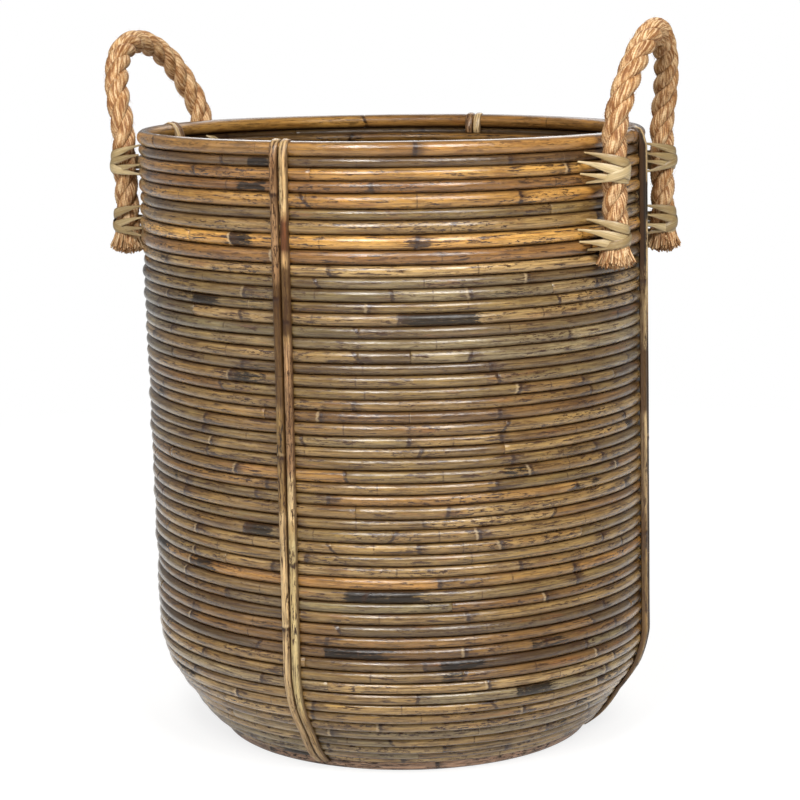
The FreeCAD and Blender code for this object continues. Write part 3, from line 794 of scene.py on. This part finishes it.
stake_start, stake_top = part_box("right_stake")
stake_radius = stake_top.x - STAKE_THICK / 2
stake_foot = stake_start.z + STAKE_THICK / 2
stake_corner = (stake_radius - STAKE_BEND, stake_foot + STAKE_BEND)
STAKE_ROUTE = Route(
    line_points((stake_radius, stake_top.z), (stake_radius, stake_corner[1])),
    arc_points(stake_corner, STAKE_BEND, 0, -90),
    line_points((stake_corner[0], stake_foot), (stake_start.x, stake_foot)),
)
stake_turns = turns_round(CANE_SIDES)
STAKE_OUTLINE = (
    STAKE_THICK / 2 * np.cos(stake_turns), STAKE_THICK / 2 * np.sin(stake_turns), stake_turns
)

for number, (place, azimuth) in enumerate(STAKE_AZIMUTHS.items()):
    surface = Surface()
    cane = Cane(STAKE_ROUTE.length, random.Random(200 + number), STAKE_TONES, node_gap=0.2)
    upright_cane(surface, STAKE_ROUTE, cane, azimuth, STAKE_OUTLINE, STAKE_THICK / 2)
    finish_piece(surface.make(f"stake_{place}", INNER_CANE), "frame_canes", f"{place}_stake")

RIB_THICK = 4.4 * MM
RIB_WIDTH = 7.0 * MM
RIB_PAIR_PITCH = 7.8 * MM
RIB_SEAT = 0.3 * MM
RIB_PRESSED = 1.2 * MM  # how far its soft inner side sinks in between the canes
RIB_DRIFT = 0.25 * MM
TAIL_TAPER = 110 * MM
# Of the rib's thickness, at its end under the foot, and where it is bent over the rim
TAIL_THICK = 0.5
FOLD_THICK = 0.4
# The turn of each pair in degrees, at its top and at the foot
RIB_TURNS = {"right": (5.0, 5.0), "rear": (90, 90), "left": (180, 180), "front": (268.4, 266.9)}
RIB_TONE_STRETCHES = {  # distances from the rib's outer top, half lengths and colours
    "front_rib_a": [(0.05, 0.06, ROSE), (0.15, 0.055, UMBER), (0.24, 0.045, TAN)],
    "front_rib_b": [
        (0.02, 0.03, CREAM), (0.065, 0.015, REDWOOD), (0.115, 0.03, UMBER),
        (0.2, 0.06, ROSE), (0.27, 0.02, CREAM), (0.37, 0.08, PALE_STRAW),
    ],
    "right_rib_a": [(0.05, 0.065, NEAR_BLACK), (0.2, 0.03, UMBER), (0.4, 0.1, TAN)],
    "right_rib_b": [(0.07, 0.08, CREAM), (0.3, 0.16, NEAR_BLACK), (0.5, 0.06, NEAR_BLACK)],
}

# From the rib's inner end behind the hoop, over the rim, down the wall and round the foot
rib_fold = RIM[2] / 2 + RIB_SEAT
rib_inside = RIM[0] - rib_fold
rib_outside = WALL_RADIUS + RIB_SEAT
rib_start = HOOP[1] + HOOP[2] / 2 + RIB_SEAT
rib_bend = rib_outside - CORNER_CENTRE
foot_angle = math.atan2(LOWEST_WALL[1] - foot_height, foot_radius - CORNER_CENTRE)
rib_end = foot_angle - (FOOT_THICK / 2 + RIB_SEAT) / rib_bend
RIB_ROUTE = Route(
    line_points((rib_inside, rib_start), (rib_inside, RIM[1])),
    arc_points((RIM[0], RIM[1]), rib_fold, 180, 0),
    line_points((rib_outside, RIM[1]), (rib_outside, LOWEST_WALL[1])),
    arc_points((CORNER_CENTRE, LOWEST_WALL[1]), rib_bend, 0, -math.degrees(rib_end)),
)
FOLD_START = RIM[1] - rib_start
FOLD_END = FOLD_START + math.pi * rib_fold

# Half a cane: a round back, and a flat face to the wall
RIB_BACK_POINTS = 11
RIB_ROUNDNESS = 0.8  # 1 is a round back, and less is a fuller one
RIB_FACE = (-0.6, 0, 0.6)  # points on the flat face, of the half width
rib_turns = np.linspace(-math.pi / 2, math.pi / 2, RIB_BACK_POINTS)
RIB_OUTLINE = (
    np.append(RIB_THICK * np.cos(rib_turns) ** RIB_ROUNDNESS, [-RIB_PRESSED] * len(RIB_FACE)),
    RIB_WIDTH / 2 * np.append(-np.sin(rib_turns), RIB_FACE),
    np.append(rib_turns, [math.pi] * len(RIB_FACE)),
)


def rib_thinned(s):
    """How much of its thickness a rib has at distances from its inner end."""
    over = smoothstep(FOLD_START - 6 * MM, FOLD_START + 2 * MM, s)
    over *= 1 - smoothstep(FOLD_END - 2 * MM, FOLD_END + 9 * MM, s)
    tail = smoothstep(-TAIL_TAPER, 0, s - RIB_ROUTE.length)
    return 1 - (1 - FOLD_THICK) * over - (1 - TAIL_THICK) * tail


def rib(node, rng, turns, side):
    """One rib of a pair, on one side of the pair's middle."""
    phases = [rng.uniform(0, 6) for _ in range(3)]
    slope = math.radians(turns[0] - turns[1]) * WALL_RADIUS / RIB_ROUTE.length

    def sideways(s):
        drift = sum(np.sin(s * (9 + 7 * n) + w) / (n + 1) for n, w in enumerate(phases))
        return -side * RIB_PAIR_PITCH / 2 + RIB_DRIFT * drift + slope * s

    surface = Surface()
    tone_stretches = [(FOLD_END + at, half, tone) for at, half, tone in RIB_TONE_STRETCHES.get(node, ())]
    looks = {"node_gap": 0.16, "burnt": 0.3, "splice_gap": 9, "tone_stretches": tone_stretches}
    cane = Cane(RIB_ROUTE.length, rng, RIB_TONES, **looks)
    upright_cane(
        surface, RIB_ROUTE, cane, turns[0], RIB_OUTLINE, RIB_WIDTH / 2, sideways, rib_thinned
    )
    return surface


for number, (place, turns) in enumerate(RIB_TURNS.items()):
    for hand, side in (("a", -1), ("b", 1)):
        node = f"{place}_rib_{hand}"
        surface = rib(node, random.Random(230 + 2 * number + side), turns, side)
        finish_piece(surface.make(f"rib_{place}_{hand}", RIB_CANE), "rib_canes", node)


# --- rope ---

ROPE = 20 * MM
ROPE_LAY = 56 * MM
STRANDS = 3
STRAND_OFFSET = 4.6 * MM  # from the rope's middle line; the strands press into each other
STRAND_RADIUS = ROPE / 2 - STRAND_OFFSET
STRAND_SIDES = 44
YARNS = 11
YARN_LAY = 1.06 * math.pi * ROPE / ROPE_LAY / STRAND_RADIUS  # turn along the strand
YARN_RISE = 0.05  # of the strand's radius, as are the tufts
TUFT_RISE = 0.025
ROPE_STATION = 1.5 * MM
FRAY_LENGTH = 14 * MM
BRUSH_LENGTH = 8 * MM
FRAY_SPREAD, FRAY_SWELL = 0.35, 0.25  # towards a cut end
ARCH_POINTS = 160
LEG_ROUNDING = 14 * MM  # of the rope's line where its legs meet the arch
LEG_MERGE = 35 * MM  # the height over which the arch narrows or widens to its legs

# How each handle stands: the lean of its arch in degrees, the arch's half width and height
# over the line that it bends on, how round it is, and the turn of its legs in degrees
HANDLES = {
    "right": {"sign": 1, "lean": 10.8, "half": 70 * MM, "rise": 76 * MM, "square": 1.75,
              "front": 1.2, "rear": 0.0},
    "left": {"sign": -1, "lean": 19.0, "half": 69 * MM, "rise": 70 * MM, "square": 2.0,
             "front": 0.0, "rear": 0.0},
}
LEG_PLACES = {"front": -1, "rear": 1}
BEND_HEIGHT = frame["joints"][0]["pos_m"][2]


def leg_place(hand, place):
    """Azimuth in degrees and centre of one leg of rope."""
    shape = HANDLES[hand]
    low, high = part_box(f"{hand}_handle_legs")
    x = (low.x + high.x) / 2
    y = LEG_PLACES[place] * (high.y - ROPE / 2)
    reach = math.hypot(x, y)
    azimuth = math.degrees(math.atan2(y, x)) + shape[place]
    turn = math.radians(azimuth)
    return azimuth, reach * math.cos(turn), reach * math.sin(turn)


def smoothed(points, reach):
    """Points evenly spaced at 1 mm, rounded over the given reach."""
    width = round(reach / MM)
    kernel = np.hanning(2 * width + 3)[1:-1]
    kernel /= kernel.sum()
    for _ in range(2):
        at = distances(points)
        points = read_at(np.linspace(0, at[-1], round(at[-1] / MM) + 1), at, points)
        before = 2 * points[0] - points[width:0:-1]
        after = 2 * points[-1] - points[-2 : -width - 2 : -1]
        padded = np.concatenate([before, points, after])
        points = np.stack([np.convolve(column, kernel, "valid") for column in padded.T], 1)
    return points


def handle_path(hand):
    """The rope's middle line from the cut end of the front leg to that of the rear one."""
    shape = HANDLES[hand]
    low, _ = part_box(f"{hand}_handle_legs")
    _, front_x, front_y = leg_place(hand, "front")
    _, rear_x, rear_y = leg_place(hand, "rear")
    turn = np.linspace(math.pi, 0, ARCH_POINTS)
    power = 2 / shape["square"]
    across = np.sign(np.cos(turn)) * np.abs(np.cos(turn)) ** power
    rise = shape["rise"] * np.sin(turn) ** power
    middle_y = (front_y + rear_y) / 2
    half_leg = (rear_y - front_y) / 2
    near_leg = 1 - smoothstep(0, LEG_MERGE, rise)
    half = shape["half"] + (half_leg - shape["half"]) * near_leg
    lean = math.radians(shape["lean"])
    share = (across * half + half_leg) / (2 * half_leg)
    foot_x = front_x + (rear_x - front_x) * np.clip(share, 0, 1)
    arch_x = foot_x + shape["sign"] * rise * math.sin(lean)
    arch_z = BEND_HEIGHT + rise * math.cos(lean)
    arch = layers(arch_x, middle_y + across * half, arch_z)
    cut = low.z + BRUSH_LENGTH
    path = np.concatenate([[[front_x, front_y, cut]], arch, [[rear_x, rear_y, cut]]])
    return settled(smoothed(path, LEG_ROUNDING))


def frames_along(points):
    """Directions, and square to them two that don't twist, for each point of a path."""
    way = unit(np.gradient(points, axis=0))
    first = np.empty_like(points)
    first[0] = unit(np.cross(way[0], [0, 1, 0]))
    for n in range(1, len(points)):
        first[n] = unit(first[n - 1] - way[n] * np.dot(first[n - 1], way[n]))
    return way, first, np.cross(way, first)


ROPE_TONES = [(paint(198, 150, 96), 3), (paint(178, 128, 76), 3), (paint(212, 170, 120), 3)]


def rope_strand(surface, path, number, rng):
    """One strand wound round the rope's middle line. Its yarns are twisted the other way, so
    that on the outside they run along the rope."""
    at = distances(path)
    s = np.linspace(0, at[-1], round(at[-1] / ROPE_STATION))
    _, first, second = frames_along(path)
    centre, first, second = (read_at(s, at, rows) for rows in (path, first, second))
    fray = 1 - smoothstep(0, FRAY_LENGTH, np.minimum(s, at[-1] - s))
    angle = 2 * math.pi * (s / ROPE_LAY + number / STRANDS)[:, None]
    out = np.cos(angle) * first + np.sin(angle) * second
    offset = STRAND_OFFSET * (1 + FRAY_SPREAD * fray) * (1 + 0.04 * np.sin(s * 45 + number))
    middle = centre + out * offset[:, None]
    strand_way = unit(np.gradient(middle, s, axis=0))
    strand_out = unit(out - strand_way * np.sum(out * strand_way, 1)[:, None])
    strand_side = np.cross(strand_way, strand_out)
    phi = turns_round(STRAND_SIDES)
    yarn_angle = phi + (YARN_LAY * s)[:, None]
    ridge = np.cos(YARNS * yarn_angle)
    swell = 1.02 + 0.03 * np.sin(s * 61 + 2 * number)
    tuft = np.sin(s[:, None] * 410 + 5 * yarn_angle + number) * np.sin(s[:, None] * 173 + 3 * phi)
    radius = STRAND_RADIUS * (swell * (1 + FRAY_SWELL * fray))[:, None]
    radius = radius * (1 + YARN_RISE * ridge + TUFT_RISE * tuft)
    rings = rings_round(
        middle, strand_out, radius * np.cos(phi), strand_side, radius * np.sin(phi)
    )
    grain = layers(
        (s + 10 * number)[:, None],
        STRAND_RADIUS * np.cos(yarn_angle), STRAND_RADIUS * np.sin(yarn_angle),
    )
    # the first two layers say how far a point faces the rope's middle and how deep it lies
    # between yarns; the finish paints shade there
    marks = layers(0.5 - 0.5 * np.cos(phi), 0.5 - 0.5 * ridge, 0, 0)
    yarn_number = np.floor(yarn_angle / (2 * math.pi) * YARNS).astype(int) % YARNS
    tones = np.array([pick(rng, ROPE_TONES) * rng.uniform(0.9, 1.05) for _ in range(YARNS)])
    surface.tube(rings, grain=grain, marks=marks, tone=tones[yarn_number])


def thread(surface, points, radii, rng, tone, sides):
    """A thin tapering yarn or fibre along a few points."""
    way = unit(np.gradient(points, axis=0))
    aside = [0.3, 0.9, 0.2] if abs(way[0][0]) > 0.5 else [0.95, 0.1, 0.3]
    first = unit(np.cross(way, aside))
    phi = turns_round(sides)
    radii = np.array(radii)[:, None]
    rings = rings_round(
        points, first, radii * np.cos(phi), np.cross(way, first), radii * np.sin(phi)
    )
    at = np.linspace(0, 0.01, len(points)) + rng.uniform(0, 9)
    grain = layers(at[:, None], MM * np.cos(phi), MM * np.sin(phi))
    surface.tube(rings, grain=grain, marks=np.zeros(4), tone=tone)


STUBS = 420  # yarn ends of one cut
BRUSH_RADIUS = 15 * MM
GOLDEN_ANGLE = 2.39996
HAIRS = 300  # loose fibres of one handle
HAIR_RADII = (0.13 * MM, 0.1 * MM, 0.04 * MM)
HAIR_ROOT = 0.44 * ROPE  # from the rope's middle line


def cut_end(surface, centre, way, rng):
    """The yarns of the rope's cut end, spread like a short brush."""
    aside = unit(np.cross(way, [0.1, 1, 0.2]))
    other = np.cross(way, aside)
    for number in range(STUBS):
        share = math.sqrt((number + 0.5) / STUBS)
        turn = number * GOLDEN_ANGLE
        out = turned(turn, aside, other)
        loose = np.array([rng.uniform(-1, 1) for _ in range(3)])
        foot = centre + out * ROPE * 0.5 * share - way * (4 + 8 * share) * MM
        length = BRUSH_LENGTH * rng.uniform(0.7, 1.0) * (1 - 0.7 * share**2.5)
        tip = centre + out * BRUSH_RADIUS * share + way * length + loose * 1.5 * MM
        waist = foot + (tip - foot) * 0.55 - out * share * 0.9 * MM + loose * 0.3 * MM
        thick = rng.uniform(0.45, 0.8) * MM
        tone = pick(rng, ROPE_TONES) * rng.uniform(0.7, 1.05)
        thread(surface, np.array([foot, waist, tip]), [thick, thick, thick * 0.85], rng, tone, 6)


def loose_fibres(surface, path, rng):
    """Fibres that stand off the rope, most of them along it."""
    way, first, second = frames_along(path)
    for _ in range(HAIRS):
        at = rng.randrange(8, len(path) - 8)
        turn = rng.uniform(0, 2 * math.pi)
        out = turned(turn, first[at], second[at])
        side = turned(turn, second[at], -first[at])
        along = way[at] * rng.choice([-1, 1])
        start = path[at] + out * HAIR_ROOT
        length = rng.uniform(3, 8) * MM
        drift = unit(along + 0.35 * out + side * rng.uniform(-0.5, 0.5))
        tip = unit(along + out * rng.uniform(0.1, 0.9) + side * rng.uniform(-0.9, 0.9))
        middle = start + drift * length * 0.5
        points = np.array([start, middle, middle + tip * length * 0.5])
        tone = pick(rng, ROPE_TONES)
        thread(surface, points, HAIR_RADII, rng, tone, 3)


def rope_finish():
    """Dry twisted fibre: pale and orange-brown strokes along the yarns, and painted shade in the
    hollows between strands and between yarns.
    """
    m = Finish("twisted_rope", specular=0.35)
    grain = m.attribute("grain")["Vector"]
    strand_hollow_shade, yarn_groove_shade, _ = m.split(m.attribute("marks")["Color"])
    fibre = m.noise(grain, 170, 1500, 4, 0.7)
    stroke = m.noise(grain, 130, 620, 2, 0.6)
    colour = m.attribute("tone")["Color"]
    for value, low, high, share, tone in (
        (m.noise(grain, 30, 160), 0.45, 0.7, 0.55, paint(166, 112, 62)),
        (stroke, 0.49, 0.6, 0.85, paint(128, 78, 38)),
        (stroke, 0.48, 0.38, 0.85, paint(236, 204, 158)),
        (fibre, 0.5, 0.66, 0.5, paint(122, 74, 38)),
        (fibre, 0.45, 0.34, 0.5, paint(240, 214, 172)),
        # painted shade between yarns and in the hollows between strands
        (yarn_groove_shade, 0.6, 1.0, 0.35, paint(120, 72, 36)),
        (strand_hollow_shade, 0.3, 0.62, 0.6, paint(110, 66, 34)),
    ):
        colour = m.tint(colour, value, low, high, share, tone)
    normal = m.bump(stroke, 0.8 * MM, 0.7)
    normal = m.bump(fibre, 0.35 * MM, 0.9, Normal=normal)
    return m.done(colour, m.ramp(fibre, 0.3, 0.7, 0.5, 0.8), normal)


ROPE_FIBRE = rope_finish()

for number, hand in enumerate(HANDLES):
    rng = random.Random(300 + number)
    path = handle_path(hand)
    surface = Surface()
    for strand in range(STRANDS):
        rope_strand(surface, path, strand, rng)
    cut_end(surface, path[0], unit(path[0] - path[3]), rng)
    cut_end(surface, path[-1], unit(path[-1] - path[-4]), rng)
    loose_fibres(surface, path, rng)
    rope = surface.make(f"rope_{hand}", ROPE_FIBRE, 75)
    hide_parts(*(f"{hand}_handle_{part}" for part in ("legs", "flex", "arch")))
    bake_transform(rope)

# --- lashings of cane peel ---

PEEL_TONES = [(paint(178, 152, 104), 3), (paint(156, 130, 84), 3), (paint(192, 168, 122), 2)]
PEEL_THICK = 0.8 * MM
PEEL_CROWN = 0.5 * MM
PEEL_WIDE = 7.8 * MM
PEEL_TIP = 1.7 * MM
PEEL_SIDES = 14
STRIP_POINTS = (16, 34, 10)  # on a strip's fan side, over the rope and on the gathered side
PASSES = 4
# Height of each pass over the lashing's middle on the fan side, a seam apart
FAN_RISE = [((PASSES - 1) / 2 - n) * (TOP_COURSE[2] + SEAM) for n in range(PASSES)]
FAN_REACH = (18 * MM, 26 * MM, 25 * MM, 17 * MM)
GATHER_REACH = 12 * MM
SEAM_DEPTH = 2.2 * MM  # how far a strip's tip reaches in between two canes
PASS_LAYERS = (0.5 * MM, 1.1 * MM, 0.0, 1.6 * MM)
GATHERED = (-3 * MM, -8.5 * MM, -12.5 * MM, -1 * MM)  # where each pass leaves the rope
LASHING_SEAT = 0.35 * MM
# The ways back inside the wall: off it, width, points, depth in the seams and how far under
# the outer passes; the share of their layers' height and how much further apart they gather
INNER_CLEARANCE, INNER_WIDE, INNER_POINTS = 1.6 * MM, 0.8 * PEEL_WIDE, 30
INNER_DEPTH, INNER_DROP = SEAM_DEPTH + 1 * MM, 0.9 * MM
INNER_LAYERS, INNER_SPREAD = 0.6, 1.4
LASHING_DROPS = {"upper": 24 * MM, "lower": 76 * MM}


def strip(surface, points, outward, width, tone, rng):
    """A flat strip along points, with its face turned outward at each of them."""
    way = unit(np.gradient(points, axis=0))
    face = unit(outward - way * np.sum(outward * way, 1)[:, None])
    phi = turns_round(PEEL_SIDES)[::-1]
    half = width[:, None] / 2
    flat = half * np.cos(phi)
    crown = PEEL_CROWN * np.clip(half / (PEEL_WIDE / 2), 0.3, 1)
    lift = PEEL_THICK / 2 * np.sin(phi) + crown * np.sin(phi) ** 2
    rings = rings_round(points, np.cross(way, face), flat, face, lift)
    at = distances(points) + rng.uniform(0, 20)
    marks = layers(np.abs(np.cos(phi)), 0, 0, 0)
    surface.tube(rings, grain=layers(at[:, None], flat, lift), marks=marks, tone=tone)


def tangent_turn(across, back, radius):
    """Angle from straight outward at which a strip leaves the rope for a point on the wall."""
    return math.atan2(across, back) - math.acos(radius / math.hypot(across, back))


def lashing(surface, hand, place, drop, rng):
    """Four passes of one long strip. They leave the seams of the wall on the front side of
    the rope, widen and cross over it, and gather on its other side."""
    azimuth, leg_x, leg_y = leg_place(hand, place)
    turn = math.radians(azimuth)
    outward = np.array([math.cos(turn), math.sin(turn), 0])
    fan = HANDLES[hand]["sign"]
    along_wall = fan * np.array([math.sin(turn), -math.cos(turn), 0])
    middle = np.array([leg_x, leg_y, RIM_TOP - drop])
    wall = WALL_RADIUS - math.hypot(leg_x, leg_y)
    for number in range(PASSES):
        radius = ROPE / 2 + LASHING_SEAT + PASS_LAYERS[number]
        reach = FAN_REACH[number] + rng.uniform(-2, 2) * MM
        fan_z = FAN_RISE[number] + rng.uniform(-2, 0.5) * MM
        gather_z = GATHERED[number] + rng.uniform(-2, 2) * MM
        back = wall - SEAM_DEPTH
        fan_turn = tangent_turn(reach, back, radius)
        gather_turn = tangent_turn(GATHER_REACH, wall, radius)
        leaves = radius * np.array([math.sin(fan_turn), math.cos(fan_turn)])
        arrives = radius * np.array([-math.sin(gather_turn), math.cos(gather_turn)])
        fan_points, rope_points, gather_points = STRIP_POINTS
        turns = np.linspace(fan_turn, -gather_turn, rope_points)
        flat = np.concatenate(
            [
                np.linspace((reach, back), leaves, fan_points)[:-1],
                radius * np.stack([np.sin(turns), np.cos(turns)], 1),
                np.linspace(arrives, (-GATHER_REACH, wall), gather_points)[1:],
            ]
        )
        share = distances(flat)
        share /= share[-1]
        z = fan_z + (gather_z - fan_z) * smoothstep(-0.1, 0.9, share)
        z += rng.uniform(-0.8, 0.8) * MM * np.sin(math.pi * share)
        points = middle + flat[:, :1] * along_wall + flat[:, 1:] * outward
        points[:, 2] += z
        way = np.gradient(flat, axis=0)
        face = -way[:, 1:] * along_wall + way[:, :1] * outward
        face *= np.sign(np.sum(face[len(face) // 2] * outward))
        wide = PEEL_WIDE * rng.uniform(0.72, 1.05)
        width = PEEL_TIP + (wide - PEEL_TIP) * smoothstep(0.0, 0.42, share)
        width *= 1 - 0.3 * smoothstep(0.75, 1.0, share)
        tone = pick(rng, PEEL_TONES) * rng.uniform(0.82, 1.05)
        strip(surface, settled(points), face, width, tone, rng)


def inner_lashing(surface, hand, place, drop, rng):
    """The strips' ways back across the inner side of the wall, crossing each other."""
    azimuth, _, _ = leg_place(hand, place)
    fan = HANDLES[hand]["sign"]
    inner = TOP_COURSE[0] - TOP_COURSE[2] / 2
    for number in range(PASSES):
        fan_z = FAN_RISE[number] - INNER_DROP
        gather_z = INNER_SPREAD * GATHERED[number]
        radius = inner - PEEL_THICK / 2 - INNER_CLEARANCE - PASS_LAYERS[number] * INNER_LAYERS
        share = np.linspace(0, 1, INNER_POINTS)
        offset = FAN_REACH[number] + (-GATHER_REACH - FAN_REACH[number]) * share
        angle = math.radians(azimuth) - fan * offset / inner
        sunk = INNER_DEPTH * (1 - smoothstep(0, 0.12, np.minimum(share, 1 - share)))
        z = RIM_TOP - drop + fan_z + (gather_z - fan_z) * share
        reach = radius + sunk
        points = settled(np.stack([reach * np.cos(angle), reach * np.sin(angle), z], 1))
        face = np.stack([-np.cos(angle), -np.sin(angle), np.zeros_like(z)], 1)
        swell = smoothstep(0, 0.25, share) * (1 - 0.6 * smoothstep(0.8, 1, share))
        width = PEEL_TIP + (INNER_WIDE - PEEL_TIP) * swell
        tone = pick(rng, PEEL_TONES) * rng.uniform(0.85, 1.0)
        strip(surface, points, face, width, tone, rng)


def peel_finish():
    """Flat cane peel: khaki, satin, with fine veins along it and browner edges."""
    m = Finish("cane_peel", specular=0.5, coat=0.3, coat_roughness=0.2)
    grain = m.attribute("grain")["Vector"]
    edge = m.split(m.attribute("marks")["Color"])[0]
    vein = m.noise(grain, 25, 2200, 3, 0.6)
    broad = m.noise(grain, 60, 300)
    colour = m.attribute("tone")["Color"]
    for value, low, high, share, tone in (
        (vein, 0.5, 0.7, 0.5, paint(122, 94, 54)),
        (vein, 0.46, 0.34, 0.5, paint(222, 204, 164)),
        (broad, 0.5, 0.72, 0.5, paint(142, 124, 82)),
        (edge, 0.78, 1.0, 0.7, paint(104, 80, 48)),
    ):
        colour = m.tint(colour, value, low, high, share, tone)
    normal = m.bump(m.plus(vein, broad), 0.3 * MM, 0.8)
    return m.done(colour, m.ramp(broad, 0.3, 0.7, 0.3, 0.5), normal)


PEEL = peel_finish()

lashing_seed = 400
for hand in HANDLES:
    for place in LEG_PLACES:
        for level, drop in LASHING_DROPS.items():
            rng = random.Random(lashing_seed)
            lashing_seed += 1
            surface = Surface()
            lashing(surface, hand, place, drop, rng)
            inner_lashing(surface, hand, place, drop, rng)
            piece = surface.make(f"peel_{hand}_{place}_{level}", PEEL, 75)
            finish_piece(piece, "cane_peel", f"{hand}_{place}_{level}_lashing")

# --- stage, light and camera ---

FLOOR_SIZE = 8.0
FLOOR_NEAR, FLOOR_FAR = 0.45, 1.6  # the shadow fades out between these
FLOOR_GLOW = (0.68, 1.0)  # how much of the floor's white is its own, near and far
FLOOR_WHITE = (1.18, 1.0)
FLOOR_COLOUR = (0.8, 0.79, 0.77, 1)
# How much of the white the lacquer sees, on the floor and further off
FLOOR_GLOSSY_SHARE = 0.25
GLOSSY_SHARE = 0.08
AMBIENT = 0.165
LIGHT_DISTANCE = 2.2


def seen_white(m, glossy_share):
    """1 for a ray from the camera or through glass, and a share of it for a reflected one."""
    rays = m.add("LightPath", {})
    white = rays["Is Camera Ray"]
    for ray, level in (("Is Glossy Ray", glossy_share), ("Is Transmission Ray", 1)):
        white = m.calc("MAXIMUM", white, m.times(rays[ray], level))
    return white


def stage_floor():
    """A plain white floor that keeps the hamper's shadow."""
    signs = ((-1, -1), (1, -1), (1, 1), (-1, 1))
    corners = [(x * FLOOR_SIZE, y * FLOOR_SIZE, 0) for x, y in signs]
    mesh = bpy.data.meshes.new("floor")
    mesh.from_pydata(corners, [], [(0, 1, 2, 3)])
    floor = bpy.data.objects.new("floor", mesh)
    bpy.context.scene.collection.objects.link(floor)
    material = bpy.data.materials.new("floor_white")
    material.use_nodes = True
    m = Nodes(material.node_tree)
    m.tree.nodes.clear()
    place = m.add("TexCoord", {})["Object"]
    away = m.add("VectorMath", {0: place}, operation="LENGTH")["Value"]
    strength, share = (
        m.ramp(away, FLOOR_NEAR, FLOOR_FAR, near, far, "LINEAR")
        for near, far in (FLOOR_WHITE, FLOOR_GLOW)
    )
    share = m.times(share, seen_white(m, FLOOR_GLOSSY_SHARE))
    diffuse = m.add("BsdfDiffuse", {"Color": FLOOR_COLOUR})[0]
    glow = m.add("Emission", {"Strength": strength})[0]
    mixed = m.add("MixShader", {0: share, 1: diffuse, 2: glow})[0]
    m.add("OutputMaterial", {"Surface": mixed})
    mesh.materials.append(material)


def white_world():
    """White where the camera or a glass sees it, a little of that white for a gloss, and a soft
    grey light elsewhere.
    """
    world = bpy.data.worlds.new("studio")
    bpy.context.scene.world = world
    world.use_nodes = True
    m = Nodes(world.node_tree)
    background = m.tree.nodes["Background"].inputs
    background["Color"].default_value = (1, 1, 1, 1)
    level = m.ramp(seen_white(m, GLOSSY_SHARE), 0, 1, AMBIENT, 1, "LINEAR")
    m.plug(level, background["Strength"])


def around(azimuth, elevation, distance, target):
    """A place seen from the target at an azimuth, measured as the camera's is."""
    a, e = math.radians(azimuth), math.radians(elevation)
    back = Vector((math.sin(a) * math.cos(e), -math.cos(a) * math.cos(e), math.sin(e)))
    return target + back * distance


def soft_box(name, azimuth, elevation, width, height, power):
    light = bpy.data.lights.new(name, "AREA")
    light.shape = "RECTANGLE"
    light.size = width
    light.size_y = height
    light.energy = power
    lamp = bpy.data.objects.new(name, light)
    target = Vector((0, 0, RIM_TOP / 2))
    lamp.location = around(CAMERA_AZIMUTH + azimuth, elevation, LIGHT_DISTANCE, target)
    lamp.rotation_mode = "QUATERNION"
    lamp.rotation_quaternion = (target - lamp.location).to_track_quat("-Z", "Y")
    bpy.context.scene.collection.objects.link(lamp)


stage_floor()
white_world()
soft_box("soft_box_left", -15, 42, 0.48, 0.8, 28.5)
soft_box("soft_box_right", 26, 42, 0.85, 0.8, 31)
soft_box("fill_left", -65, 30, 1.6, 1.4, 7)
soft_box("fill_rear", 175, 40, 1.8, 1.2, 22)

CAMERA_DISTANCE = 1.9514
CAMERA_RISE = 0.1041  # over the rim
CAMERA_PITCH = 9.766
CAMERA_YAW = -0.027
CAMERA_ROLL = -0.528
LENS = 104.56

camera_data = bpy.data.cameras.new("camera")
camera_data.sensor_width = 36
camera_data.lens = LENS
camera = bpy.data.objects.new("camera", camera_data)
over_rim = Vector((0, 0, RIM_TOP + CAMERA_RISE))
camera.location = around(CAMERA_AZIMUTH, 0, CAMERA_DISTANCE, over_rim)
look_from = around(CAMERA_AZIMUTH + CAMERA_YAW, CAMERA_PITCH, 1, Vector())
look = (-look_from).to_track_quat("-Z", "Y").to_matrix()
roll = Matrix.Rotation(math.radians(CAMERA_ROLL), 3, "Z")
camera.rotation_mode = "QUATERNION"
camera.rotation_quaternion = (look @ roll).to_quaternion()
bpy.context.scene.collection.objects.link(camera)
bpy.context.scene.camera = camera
bpy.context.scene.view_settings.view_transform = "Standard"
